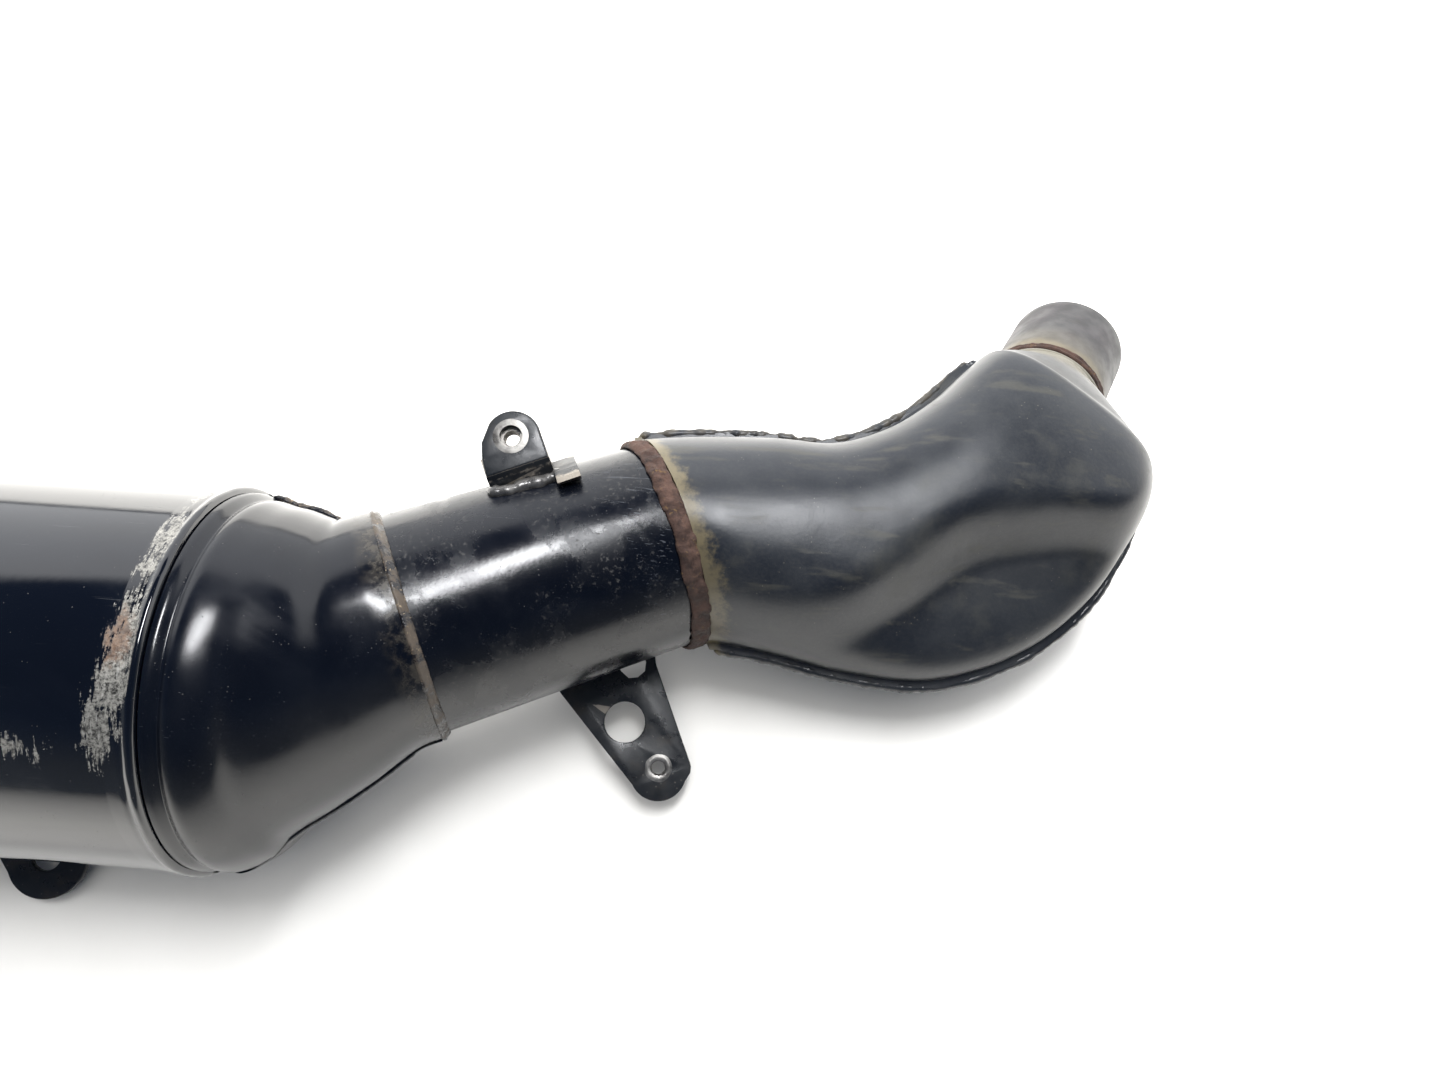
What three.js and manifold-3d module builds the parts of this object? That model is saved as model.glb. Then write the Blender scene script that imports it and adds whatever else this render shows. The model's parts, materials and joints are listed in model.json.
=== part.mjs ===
// Motorcycle exhaust muffler with a catalyst link pipe and a two-shell inlet elbow.
// Millimetres, +Z up. It lies on its side as on a bench: the canister axis runs along X,
// the inlet is at +X and the tail outlet at -X. Design zero is a point of the canister axis
// just behind its front rim; the finished group is moved to have its origin bottom centre.
import * as THREE from 'three';
import * as BufferGeometryUtils from 'three/addons/utils/BufferGeometryUtils.js';
import Module from 'manifold-3d';

const wasm = await Module();
wasm.setup();

// ---------------------------------------------------------------- driving dimensions
const GAP = 0.3;                    // clearance between touching pieces
const SHEET = 1.5;                  // stamped sheet thickness
const BODY_R = 60;                  // canister outer radius
const BODY_LENGTH = 400;            // front rim plane to rear rim plane
const FRONT_X = 13;                 // where the front rim plane stands
const RIM_R = 61.3;                 // rolled rims stand proud of the canister
const RIM_WIDTH = 8;
const TAIL_REACH = 34;              // outlet stands this far behind the rear rim
const NECK = v(62, 21.5, 0);        // end of the cone neck, where the link pipe enters
const LINK_END = v(141.9, 61.5, -10);   // rusty weld between link pipe and elbow
const LINK_R0 = 37;                 // link pipe outer radius at the neck
const LINK_R1 = 35.6;               // and at the elbow weld
const INLET = v(277.56, 135.06, -20.48);  // end of the elbow, where the inlet stub starts
const INLET_DIR = v(0.388, 0.839, -0.42).normalize();
const INLET_R = 22.6;               // inlet stub outer radius
const INLET_LENGTH = 49;
const SEAM_N = v(0.07, -0.262, 0.962).normalize();   // normal of the clamshell seam plane
const LINK_DIR = LINK_END.clone().sub(NECK).normalize();
const FLANGE = 2.8;                 // welded flange round the elbow shells
const CONE_FLANGE = 1.6;            // and the smaller one of the cone shells
const PRESS_WIDTH = 0.13;           // half the width of a pressed step, as a share of the section
const CAT_R = 31;                   // catalyst brick radius

// ---------------------------------------------------------------- finishes
const FINISH = {
  gloss: [0x0b0d12, 0.12, 0.4],
  satin: [0x2b2e31, 0.45, 0.4],
  weld: [0x4a3228, 0.85, 0.3],
  bracket: [0x14161a, 0.45, 0.4],
  stub: [0x7d7568, 0.6, 0.6],
  steel: [0x8d9094, 0.4, 0.9],
  wool: [0xb9ad8e, 0.95, 0.0],
  ceramic: [0xa89f8c, 0.9, 0.0],
};

const group = new THREE.Group();

function v(x, y, z) {
  return new THREE.Vector3(x, y, z);
}

// Adds one named mesh with a material of its own.
function addPart(name, geometry, finish) {
  const [color, roughness, metalness] = FINISH[finish];
  const material = new THREE.MeshStandardMaterial({ color, roughness, metalness });
  const mesh = new THREE.Mesh(geometry, material);
  mesh.name = name;
  group.add(mesh);
  return mesh;
}

// ---------------------------------------------------------------- solid helpers
// Shared vertices, no zero-area triangles, faces pointing out.
function closed(geometry) {
  let g = geometry.clone();
  g.deleteAttribute('normal');
  g.deleteAttribute('uv');
  g = BufferGeometryUtils.mergeVertices(g, 1e-4);
  const p = g.getAttribute('position');
  const index = g.getIndex().array;
  const a = v(0, 0, 0);
  const b = v(0, 0, 0);
  const c = v(0, 0, 0);
  const kept = [];
  let volume = 0;
  for (let i = 0; i < index.length; i += 3) {
    const [i0, i1, i2] = [index[i], index[i + 1], index[i + 2]];
    if (i0 === i1 || i1 === i2 || i0 === i2) continue;
    a.fromBufferAttribute(p, i0);
    b.fromBufferAttribute(p, i1);
    c.fromBufferAttribute(p, i2);
    volume += a.dot(b.cross(c));
    kept.push(i0, i1, i2);
  }
  if (volume < 0) kept.reverse();
  g.setIndex(kept);
  return g;
}

function toSolid(geometry) {
  const g = closed(geometry);
  const vertProperties = new Float32Array(g.getAttribute('position').array);
  const triVerts = new Uint32Array(g.getIndex().array);
  return new wasm.Manifold(new wasm.Mesh({ numProp: 3, vertProperties, triVerts }));
}

function fromSolid(solid) {
  const mesh = solid.getMesh();
  const g = new THREE.BufferGeometry();
  g.setAttribute('position', new THREE.BufferAttribute(new Float32Array(mesh.vertProperties), 3));
  g.setIndex(new THREE.BufferAttribute(new Uint32Array(mesh.triVerts), 1));
  return g;
}

// Turns local +Y onto a direction and moves the local origin to a point.
function along(geometry, origin, direction) {
  const turn = new THREE.Quaternion().setFromUnitVectors(v(0, 1, 0), direction);
  geometry.applyQuaternion(turn);
  geometry.translate(origin.x, origin.y, origin.z);
  return geometry;
}

// Closed profile of [radius, distance along the axis] pairs, turned round an axis.
function revolve(profile, origin, direction, segments = 36) {
  const points = profile.map(([r, y]) => new THREE.Vector2(r, y));
  if (profile[0][0] > 0) points.push(points[0].clone());
  return closed(along(new THREE.LatheGeometry(points, segments), origin, direction));
}

const AXIS = v(1, 0, 0);

function tube(outer, wall, from, to, origin, direction, segments) {
  const inner = outer - wall;
  return revolve([[inner, from], [outer, from], [outer, to], [inner, to]], origin, direction, segments);
}

function rod(radius, from, to, origin, direction, segments = 12) {
  return revolve([[0, from], [radius, from], [radius, to], [0, to]], origin, direction, segments);
}

// Weld ring with a crowned face: it starts at the inner radius and stands up by height.
function weldRing(inner, height, width, origin, direction, segments = 36) {
  const h = width / 2;
  const profile = [[inner, -h], [inner + height * 0.55, -h], [inner + height, -h * 0.4],
    [inner + height, h * 0.4], [inner + height * 0.55, h], [inner, h]];
  return revolve(profile, origin, direction, segments);
}

function bead(points, radius, steps) {
  const section = new THREE.Shape();
  section.absarc(0, 0, radius, 0, Math.PI * 2, false);
  const extrudePath = new THREE.CatmullRomCurve3(points);
  return closed(new THREE.ExtrudeGeometry(section, { steps, curveSegments: 3, extrudePath }));
}

// ---------------------------------------------------------------- stamped half shells
function blend(values, t) {
  const last = values.length - 1;
  const i = Math.min(Math.floor(t * last), last - 1);
  const u = t * last - i;
  const p = [values[Math.max(i - 1, 0)], values[i], values[i + 1], values[Math.min(i + 2, last)]];
  return 0.5 * (2 * p[1] + (p[2] - p[0]) * u + (2 * p[0] - 5 * p[1] + 4 * p[2] - p[3]) * u * u
    + (3 * p[1] - p[0] - 3 * p[2] + p[3]) * u * u * u);
}

function blendVector(vectors, t) {
  return v(...['x', 'y', 'z'].map((k) => blend(vectors.map((q) => q[k]), t)));
}

// A station is one cross-section: far and near seam points, the normal there, the crown
// height, the fraction that the near side is pressed down (drop, from the place dropAt), how
// square the section is, how far the near wall leans out, and how far the upper shell bulges
// onward along the duct.
function sectionAt(stations, t) {
  const section = {
    far: blendVector(stations.map((s) => s.far), t),
    near: blendVector(stations.map((s) => s.near), t),
    normal: blendVector(stations.map((s) => s.normal), t).normalize(),
  };
  for (const key of ['height', 'depth', 'drop', 'dropAt', 'square', 'lean', 'bulge']) {
    section[key] = blend(stations.map((s) => s[key]), t);
  }
  return section;
}

// Rows of points across the sheet: side +1 is the upper shell, side -1 the lower one. The
// flange narrows to nothing much between the two places given by fade.
function shellRows(stations, side, lengthSteps, arcSteps, fullFlange, fade = [1, 2]) {
  const rows = [];
  for (let i = 0; i <= lengthSteps; i++) {
    const s = sectionAt(stations, i / lengthSteps);
    const narrowing = THREE.MathUtils.smoothstep(i / lengthSteps, ...fade);
    const flange = fullFlange * (1 - 0.85 * narrowing);
    const across = s.near.clone().sub(s.far);
    const out = across.clone().normalize();
    const onward = s.normal.clone().cross(out);
    const lift = s.normal.clone().multiplyScalar(side * GAP / 2);
    const row = [];
    if (flange > 0) row.push(s.far.clone().addScaledVector(out, -flange).add(lift));
    for (let j = 0; j <= arcSteps; j++) {
      const angle = Math.PI * j / arcSteps;
      const c = -Math.cos(angle);
      const x = Math.sign(c) * Math.abs(c) ** (2 / s.square);
      const h = Math.abs(Math.sin(angle)) ** (2 / s.square);
      const place = (x + 1) / 2;
      const pressed = THREE.MathUtils.smoothstep(place, s.dropAt - PRESS_WIDTH, s.dropAt + PRESS_WIDTH);
      const rise = side > 0 ? s.height * h * (1 - s.drop * pressed) : -s.depth * h;
      const lean = side > 0 ? s.lean * h * THREE.MathUtils.smoothstep(place, 0.5, 1) : 0;
      const bulge = side > 0 ? s.bulge * h : 0;
      row.push(s.far.clone().addScaledVector(across, place).addScaledVector(s.normal, rise)
        .addScaledVector(out, lean).addScaledVector(onward, bulge).add(lift));
    }
    if (flange > 0) row.push(s.near.clone().addScaledVector(out, flange).add(lift));
    rows.push(row);
  }
  return rows;
}

// Thickens rows of points into one closed sheet, outwards from the given face.
function sheet(rows, side, thickness) {
  const n = rows.length;
  const m = rows[0].length;
  const points = rows.flat();
  const at = (i, j) => rows[Math.min(Math.max(i, 0), n - 1)][Math.min(Math.max(j, 0), m - 1)];
  for (let i = 0; i < n; i++) {
    for (let j = 0; j < m; j++) {
      const along = at(i + 1, j).clone().sub(at(i - 1, j));
      const across = at(i, j + 1).clone().sub(at(i, j - 1));
      const normal = across.cross(along).normalize().multiplyScalar(side * thickness);
      points.push(rows[i][j].clone().add(normal));
    }
  }
  const id = (layer, i, j) => layer * n * m + i * m + j;
  const index = [];
  const quad = (a, b, c, d) => index.push(a, b, c, a, c, d);
  for (let i = 0; i < n - 1; i++) {
    for (let j = 0; j < m - 1; j++) {
      quad(id(1, i, j), id(1, i, j + 1), id(1, i + 1, j + 1), id(1, i + 1, j));
      quad(id(0, i, j), id(0, i + 1, j), id(0, i + 1, j + 1), id(0, i, j + 1));
    }
    quad(id(0, i, 0), id(1, i, 0), id(1, i + 1, 0), id(0, i + 1, 0));
    quad(id(0, i, m - 1), id(0, i + 1, m - 1), id(1, i + 1, m - 1), id(1, i, m - 1));
  }
  for (let j = 0; j < m - 1; j++) {
    quad(id(0, 0, j), id(0, 0, j + 1), id(1, 0, j + 1), id(1, 0, j));
    quad(id(0, n - 1, j), id(1, n - 1, j), id(1, n - 1, j + 1), id(0, n - 1, j + 1));
  }
  const g = new THREE.BufferGeometry();
  g.setAttribute('position', new THREE.Float32BufferAttribute(points.flatMap((p) => p.toArray()), 3));
  g.setIndex(index);
  return closed(g);
}

// Line along the outside of a seam, for its weld.
function seamLine(stations, sign, reach, from, to, count) {
  const line = [];
  for (let i = 0; i <= count; i++) {
    const s = sectionAt(stations, from + (to - from) * i / count);
    const out = s.near.clone().sub(s.far).normalize();
    const base = sign > 0 ? s.near : s.far;
    line.push(base.clone().addScaledVector(out, sign * reach));
  }
  return line;
}

function normalTo(direction) {
  return SEAM_N.clone().addScaledVector(direction, -SEAM_N.dot(direction)).normalize();
}

// Round station of the given inner radius round a point of the duct's centre line.
function roundStation(centre, direction, radius) {
  const normal = normalTo(direction);
  const side = normal.clone().cross(direction).multiplyScalar(radius);
  return {
    far: centre.clone().add(side), near: centre.clone().sub(side), normal,
    height: radius, depth: radius, drop: 0, dropAt: 0.9, square: 2, lean: 0, bulge: 0,
  };
}

// ---------------------------------------------------------------- canister
function makeCanister() {
  addPart('body_shell', tube(BODY_R, 1.2, -BODY_LENGTH + 1, -1, v(0, 0, 0), AXIS, 48), 'gloss');
  const edge = RIM_R - 0.7;
  const inner = BODY_R + GAP;
  const half = RIM_WIDTH / 2;
  const rim = [[inner, -half], [edge, -half], [RIM_R, -half + 1.5], [RIM_R, half - 1.5],
    [edge, half], [inner, half]];
  addPart('front_rim_ring', revolve(rim, v(-1, 0, 0), AXIS, 48), 'gloss');
  addPart('rear_rim_ring', revolve(rim, v(1 - BODY_LENGTH, 0, 0), AXIS, 48), 'gloss');
  addPart('packing_sleeve', tube(58.4, 4, -BODY_LENGTH + 14, -16, v(0, 0, 0), AXIS, 36), 'wool');
  addPart('inner_liner', tube(54, 1, -BODY_LENGTH + 14, -16, v(0, 0, 0), AXIS, 36), 'steel');
}

// Inner pipes: distance from the axis in Y and Z, outer radius, and both ends along X.
const INLET_CORE = { y: 0, z: 22, r: 21, from: -295, to: -4 };
const RETURN_PIPE = { y: -24, z: -18, r: 15, from: -300, to: -100 };
const TAIL_PIPE = { y: 24, z: -18, r: 18, from: -BODY_LENGTH - TAIL_REACH, to: -90 };
const PIPES = [INLET_CORE, RETURN_PIPE, TAIL_PIPE];
const BAFFLE_R = 52.7;

function discWithHoles(radius, x, pipes, thickness) {
  const shape = new THREE.Shape();
  shape.absarc(0, 0, radius, 0, Math.PI * 2, false);
  for (const pipe of pipes) {
    const hole = new THREE.Path();
    hole.absarc(pipe.y, pipe.z, pipe.r + GAP, 0, Math.PI * 2, true);
    shape.holes.push(hole);
  }
  const options = { depth: thickness, bevelEnabled: false, curveSegments: 12 };
  const g = new THREE.ExtrudeGeometry(shape, options);
  g.applyMatrix4(new THREE.Matrix4().makeBasis(v(0, 1, 0), v(0, 0, 1), v(1, 0, 0)));
  g.translate(x, 0, 0);
  return closed(g);
}

// Rows of six-sided holes round a pipe along X.
function perforate(geometry, pipe, rows, perRow, pitch, start) {
  let solid = toSolid(geometry);
  for (let i = 0; i < rows; i++) {
    for (let k = 0; k < perRow; k++) {
      const angle = (k + (i % 2) / 2) * Math.PI * 2 / perRow;
      const direction = v(0, Math.cos(angle), Math.sin(angle));
      const origin = v(start + i * pitch, pipe.y, pipe.z);
      solid = solid.subtract(toSolid(rod(3, pipe.r - 4, pipe.r + 4, origin, direction, 6)));
    }
  }
  return fromSolid(solid);
}

function makeInside() {
  addPart('baffle_front', discWithHoles(BAFFLE_R, -26, [INLET_CORE], SHEET), 'steel');
  addPart('baffle_middle', discWithHoles(BAFFLE_R, -140, PIPES, SHEET), 'steel');
  addPart('baffle_rear', discWithHoles(BAFFLE_R, -265, PIPES, SHEET), 'steel');
  const pipeOf = (p) => tube(p.r, 1.5, p.from, p.to, v(0, p.y, p.z), AXIS, 20);
  addPart('inlet_core_tube', perforate(pipeOf(INLET_CORE), INLET_CORE, 4, 4, 22, -236), 'steel');
  addPart('return_tube', pipeOf(RETURN_PIPE), 'steel');
  addPart('tail_tube', tube(TAIL_PIPE.r, 1.5, TAIL_PIPE.from, TAIL_PIPE.to,
    v(0, TAIL_PIPE.y, TAIL_PIPE.z), AXIS, 32), 'gloss');
}

// Domed rear cap: an open-bottomed shell with a round hole for the outlet.
function makeEndCap() {
  const x0 = -BODY_LENGTH + 4;
  const outside = [[0, -12], [30, -11], [48, -8], [57, -3], [58.4, 1], [58.4, 6]];
  const inside = [[56.9, 6], [56.9, 1], [56, -2], [47, -6.5], [30, -9.5], [0, -10.5]];
  const shell = toSolid(revolve([...outside, ...inside], v(x0, 0, 0), AXIS, 40));
  const hole = rod(TAIL_PIPE.r + GAP, -20, 20, v(x0, TAIL_PIPE.y, TAIL_PIPE.z), AXIS, 32);
  addPart('end_cap', fromSolid(shell.subtract(toSolid(hole))), 'gloss');
  const outlet = v(-BODY_LENGTH - TAIL_REACH, TAIL_PIPE.y, TAIL_PIPE.z);
  const lip = [[18.3, 0], [20, 0], [20.6, 1.5], [20.6, 5], [20, 7], [18.3, 7]];
  addPart('outlet_lip', revolve(lip, outlet, AXIS, 32), 'gloss');
}

// ---------------------------------------------------------------- cone and its neck
// Cone sections: centre, direction, half width and height above and below the seam.
const CONE_ROWS = [
  [v(14.5, 0, 0), v(1, 0, 0), 58.2, 58.2],
  [v(21, -0.4, 0), v(0.999, 0.035, 0), 57, 57.3],
  [v(27.5, 0.8, 0.2), v(0.999, 0.047, 0), 54, 55],
  [v(33.2, 3.8, 0.4), v(0.999, 0.046, 0), 50, 51.8],
  [v(42, 7.6, 0.6), v(0.991, 0.135, -0.02), 44.8, 46.8],
  [v(48.5, 11.9, 0.6), v(0.963, 0.269, -0.05), 40.8, 41.6],
];

function coneStations() {
  const stations = CONE_ROWS.map(([centre, turn, width, height]) => (
    { ...roundStation(centre, turn.normalize(), width), height, depth: height }));
  const inner = LINK_R0 + GAP + 0.1;
  for (const [back, opening] of [[8, 0.5], [0, 0]]) {
    const centre = NECK.clone().addScaledVector(LINK_DIR, -back);
    stations.push(roundStation(centre, LINK_DIR, inner + opening));
  }
  return stations;
}

function makeCone() {
  const stations = coneStations();
  addPart('cone_upper_half', sheet(shellRows(stations, 1, 12, 16, CONE_FLANGE), 1, SHEET), 'gloss');
  addPart('cone_lower_half', sheet(shellRows(stations, -1, 12, 16, CONE_FLANGE), -1, SHEET), 'gloss');
  const reach = CONE_FLANGE + GAP + 2.3;
  addPart('cone_seam_weld_far', bead(seamLine(stations, -1, reach, 0.15, 0.76, 16), 1, 20), 'satin');
  addPart('cone_seam_weld_near', bead(seamLine(stations, 1, reach, 0.3, 0.7, 16), 1, 20), 'gloss');
  const lip = NECK.clone().addScaledVector(LINK_DIR, 2);
  addPart('neck_weld_bead', weldRing(LINK_R0 + GAP, 2.4, 3, lip, LINK_DIR), 'gloss');
}

// ---------------------------------------------------------------- link pipe and catalyst
const LINK_LENGTH = LINK_END.clone().sub(NECK).length();

function makeLinkPipe() {
  const wall = 1.5;
  const start = -7;
  const end = LINK_LENGTH - 1;
  const profile = [[LINK_R0 - wall, start], [LINK_R0, start], [LINK_R0, 3], [LINK_R1, end],
    [LINK_R1 - wall, end], [LINK_R0 - wall, 3]];
  addPart('link_pipe', revolve(profile, NECK, LINK_DIR, 36), 'gloss');
  const brickFrom = 12;
  const brickTo = 76;
  addPart('catalyst_mat', tube(33.4, 2, brickFrom, brickTo, NECK, LINK_DIR, 36), 'wool');
  let brick = toSolid(rod(CAT_R, brickFrom, brickTo, NECK, LINK_DIR, 36));
  const across = v(0, 0, 1).cross(LINK_DIR).normalize();
  const up = LINK_DIR.clone().cross(across);
  const cell = 17;
  for (let row = -1; row <= 1; row++) {
    for (let k = 0; k < 3 - Math.abs(row); k++) {
      const side = (k - (2 - Math.abs(row)) / 2) * cell;
      const centre = NECK.clone().addScaledVector(across, side).addScaledVector(up, row * cell * 0.87);
      brick = brick.subtract(toSolid(rod(7, brickFrom - 5, brickTo + 5, centre, LINK_DIR, 6)));
    }
  }
  addPart('catalyst_brick', fromSolid(brick), 'ceramic');
}

// ---------------------------------------------------------------- elbow
function seamPoint(x, y, sink) {
  const z = LINK_END.z - (SEAM_N.x * (x - LINK_END.x) + SEAM_N.y * (y - LINK_END.y)) / SEAM_N.z;
  return v(x, y, z - sink);
}

// Each row: far seam x y, near seam x y, how far both sink under the seam plane, tilt of the
// normal towards the inlet, crown, depth, drop and its place, squareness, lean, bulge.
const ELBOW_ROWS = [
  [150, 97, 180, 30, 0, 0, 0, 35, 35, 0.1, 0.9, 2.1, 0, 0],
  [176, 99, 207, 26, 0, 0, 0, 35, 35, 0.35, 0.8, 2.3, 0, 0],
  [198, 99, 237, 26, 0, 0, 0, 35, 35, 0.52, 0.62, 2.6, 0, 0],
  [217, 106, 267, 38, 0, 1, 0, 35, 34, 0.57, 0.53, 2.8, 1, 0],
  [232, 117, 290, 58, 1, 2, 0.1, 34, 32, 0.53, 0.68, 2.9, 2, 0],
  [243, 129, 304, 82, 3, 3.5, 0.2, 31, 29, 0.28, 0.98, 3, 2, 0],
  [249, 135.5, 308, 97, 4, 5, 0.25, 27, 27, 0, 0.98, 3, 2, 1],
  [252, 138, 305, 108, 5, 7, 0.3, 23, 26, 0, 0.9, 3, 1, 0],
];

const FADE = [0.72, 0.84];          // where the elbow's flange ends, as a share of its length

function elbowStations() {
  const inletNormal = normalTo(INLET_DIR);
  const start = LINK_END.clone().addScaledVector(LINK_DIR, 4.6);
  const stations = [roundStation(start, LINK_DIR, LINK_R1 - 0.1)];
  for (const row of ELBOW_ROWS) {
    const [fx, fy, nx, ny, sinkFar, sinkNear, tilt, ...rest] = row;
    const [height, depth, drop, dropAt, square, lean, bulge] = rest;
    const normal = SEAM_N.clone().lerp(inletNormal, tilt).normalize();
    const far = seamPoint(fx, fy, sinkFar);
    const near = seamPoint(nx, ny, sinkNear);
    stations.push({ far, near, normal, height, depth, drop, dropAt, square, lean, bulge });
  }
  const neck = INLET.clone().addScaledVector(INLET_DIR, -5);
  stations.push(roundStation(neck, INLET_DIR, INLET_R + 0.6));
  stations.push(roundStation(INLET, INLET_DIR, INLET_R - 0.3));
  return stations;
}

function makeElbow() {
  const stations = elbowStations();
  addPart('elbow_upper_half', sheet(shellRows(stations, 1, 30, 16, FLANGE, FADE), 1, SHEET), 'satin');
  addPart('elbow_lower_half', sheet(shellRows(stations, -1, 30, 12, FLANGE, FADE), -1, SHEET), 'satin');
  const reach = FLANGE + GAP + 1.3;
  addPart('elbow_seam_weld_far', bead(seamLine(stations, -1, reach, 0.03, 0.72, 24), 1.2, 26), 'satin');
  addPart('elbow_seam_weld_near', bead(seamLine(stations, 1, reach, 0.03, 0.72, 24), 1.2, 26), 'satin');
  const ringCentre = LINK_END.clone().addScaledVector(LINK_DIR, -0.3);
  addPart('elbow_weld_ring', weldRing(LINK_R1 + GAP, 2.6, 6.4, ringCentre, LINK_DIR), 'weld');
}

// ---------------------------------------------------------------- inlet stub
function makeInlet() {
  const start = 0.6;
  addPart('inlet_tube', tube(INLET_R, 1.5, start, INLET_LENGTH, INLET, INLET_DIR, 36), 'stub');
  const ringCentre = INLET.clone().addScaledVector(INLET_DIR, 3.6);
  addPart('inlet_weld_ring', weldRing(INLET_R + GAP, 2, 3.8, ringCentre, INLET_DIR), 'weld');
}

// ---------------------------------------------------------------- brackets
// Bracket frame: X runs with the link pipe, Y away from the near side, Z is the seam normal.
const BRACKET_X = LINK_DIR.clone().addScaledVector(SEAM_N, -LINK_DIR.dot(SEAM_N)).normalize();
const BRACKET_Y = SEAM_N.clone().cross(BRACKET_X);

function bracketMatrix(origin) {
  return new THREE.Matrix4().makeBasis(BRACKET_X, BRACKET_Y, SEAM_N).setPosition(origin);
}

function outline(points) {
  const shape = new THREE.Shape();
  shape.moveTo(...points[0]);
  for (const point of points.slice(1)) shape.lineTo(...point);
  shape.closePath();
  return shape;
}

function cutHole(shape, x, y, radius) {
  const hole = new THREE.Path();
  hole.absarc(x, y, radius, 0, Math.PI * 2, true);
  shape.holes.push(hole);
}

function plate(shape, z, thickness, matrix) {
  const options = { depth: thickness, bevelEnabled: false, curveSegments: 7 };
  const g = new THREE.ExtrudeGeometry(shape, options);
  g.translate(0, 0, z);
  g.applyMatrix4(matrix);
  return closed(g);
}

// Plate standing across the bracket: its outline is in Y and Z, its thickness runs along X.
function crossPlate(shape, from, to, origin) {
  const g = new THREE.ExtrudeGeometry(shape, { depth: to - from, bevelEnabled: false });
  g.translate(0, 0, from);
  g.applyMatrix4(new THREE.Matrix4().makeBasis(BRACKET_Y, SEAM_N, BRACKET_X).setPosition(origin));
  return closed(g);
}

const LINK_CLEAR = () => toSolid(rod(LINK_R0 + GAP, -20, LINK_LENGTH + 20, NECK, LINK_DIR, 36));
const BODY_CLEAR = () => toSolid(rod(BODY_R + GAP, -BODY_LENGTH, 20, v(0, 0, 0), AXIS, 48));

// Six-sided weld nut with a through hole, under a bracket plate.
function weldNut(centre, acrossFlats, height, holeR) {
  const r = acrossFlats / Math.sqrt(3);
  const shape = new THREE.Shape();
  for (let k = 0; k < 6; k++) {
    const angle = k * Math.PI / 3;
    const corner = [r * Math.cos(angle), r * Math.sin(angle)];
    if (k === 0) shape.moveTo(...corner);
    else shape.lineTo(...corner);
  }
  shape.closePath();
  cutHole(shape, 0, 0, holeR);
  return plate(shape, -height - GAP, height, bracketMatrix(centre));
}

const PLATE = 2.5;                              // bracket plate thickness
const UPPER_HOLE = v(93.6, 76.35, 33.1);        // top face of the upper bracket at its hole
const LOWER_HOLE = v(132.1, 6.2, -41.9);        // top face of the lower bracket at its big hole
const LOWER_NUT = [5.9, -19.1];                 // threaded hole of the lower bracket
const TAB_HOLE = v(-61.2, -53.4, -49.3);        // top face of the rear tab at its hole

function makeUpperBracket() {
  const matrix = bracketMatrix(UPPER_HOLE);
  const face = new THREE.Shape();
  face.moveTo(9.4, -8.5);
  face.absarc(0, -0.6, 9.4, 0, Math.PI * 0.78, false);
  face.lineTo(-11, -4);
  face.lineTo(-11.6, -8.5);
  face.closePath();
  cutHole(face, 0, 0, 3.6);
  let solid = toSolid(plate(face, -PLATE, PLATE, matrix));
  const parts = [
    [[[-8.4, 0], [-8.4, -3], [-20, -15], [-20, -11.6]], -11.6, 9.4],                // sloping front
    [[[-3, -2], [-6.4, -2], [-8.4, -0.2], [-24, -15.8], [-24, -26], [-3, -26]], 6.9, 9.4],
    [[[-5, -2], [-6.4, -2], [-8.4, -0.2], [-24, -15.8], [-24, -26], [-5, -26]], -11.6, -9.1],
    [[[-11, -9.5], [-13, -6], [-15, -3.2], [-18, 0.2], [-18, -12], [-11, -14]], 9.3, 17],  // foot
  ];
  for (const [points, from, to] of parts) {
    solid = solid.add(toSolid(crossPlate(outline(points), from, to, UPPER_HOLE)));
  }
  addPart('upper_bracket', fromSolid(solid.subtract(LINK_CLEAR())), 'bracket');
  const under = UPPER_HOLE.clone().addScaledVector(SEAM_N, -PLATE);
  addPart('upper_bracket_nut', weldNut(under, 10, 5, 2.5), 'steel');
  const root = [[-8, -14.5], [-4, -14.7], [0, -14.5], [4, -14.7]];
  const lump = root.map(([x, y]) => v(x, y, -2).applyMatrix4(matrix));
  addPart('upper_bracket_weld', bead(lump, 1.7, 8), 'steel');
}

function makeLowerBracket() {
  const matrix = bracketMatrix(LOWER_HOLE);
  const shape = new THREE.Shape();
  shape.moveTo(-20, 28);
  shape.lineTo(-18, 17);
  shape.absarc(5.4, -20.5, 10, Math.PI, Math.PI * 1.85, false);
  shape.lineTo(16.2, -23);
  shape.lineTo(17.2, 16);
  shape.lineTo(20.5, 28);
  shape.lineTo(14.5, 28);
  shape.lineTo(14, 17.5);
  shape.lineTo(11.5, 13.6);
  shape.lineTo(7, 13.8);
  shape.lineTo(4.6, 17.5);
  shape.lineTo(4, 28);
  shape.lineTo(-11, 28);
  shape.lineTo(-11.5, 17.5);
  shape.lineTo(-12.5, 28);
  shape.closePath();
  cutHole(shape, 0, 0, 7.2);
  cutHole(shape, ...LOWER_NUT, 3.2);
  let solid = toSolid(plate(shape, -PLATE, PLATE, matrix));
  const fold = outline([[14.7, -22], [17.2, -22], [17.2, 15], [14.7, 15]]);
  solid = solid.add(toSolid(plate(fold, -7, 5, matrix)));
  addPart('lower_bracket', fromSolid(solid.subtract(LINK_CLEAR())), 'bracket');
  const nutCentre = v(...LOWER_NUT, -PLATE).applyMatrix4(matrix);
  addPart('lower_bracket_nut', weldNut(nutCentre, 10, 5, 2.5), 'steel');
}

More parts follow.
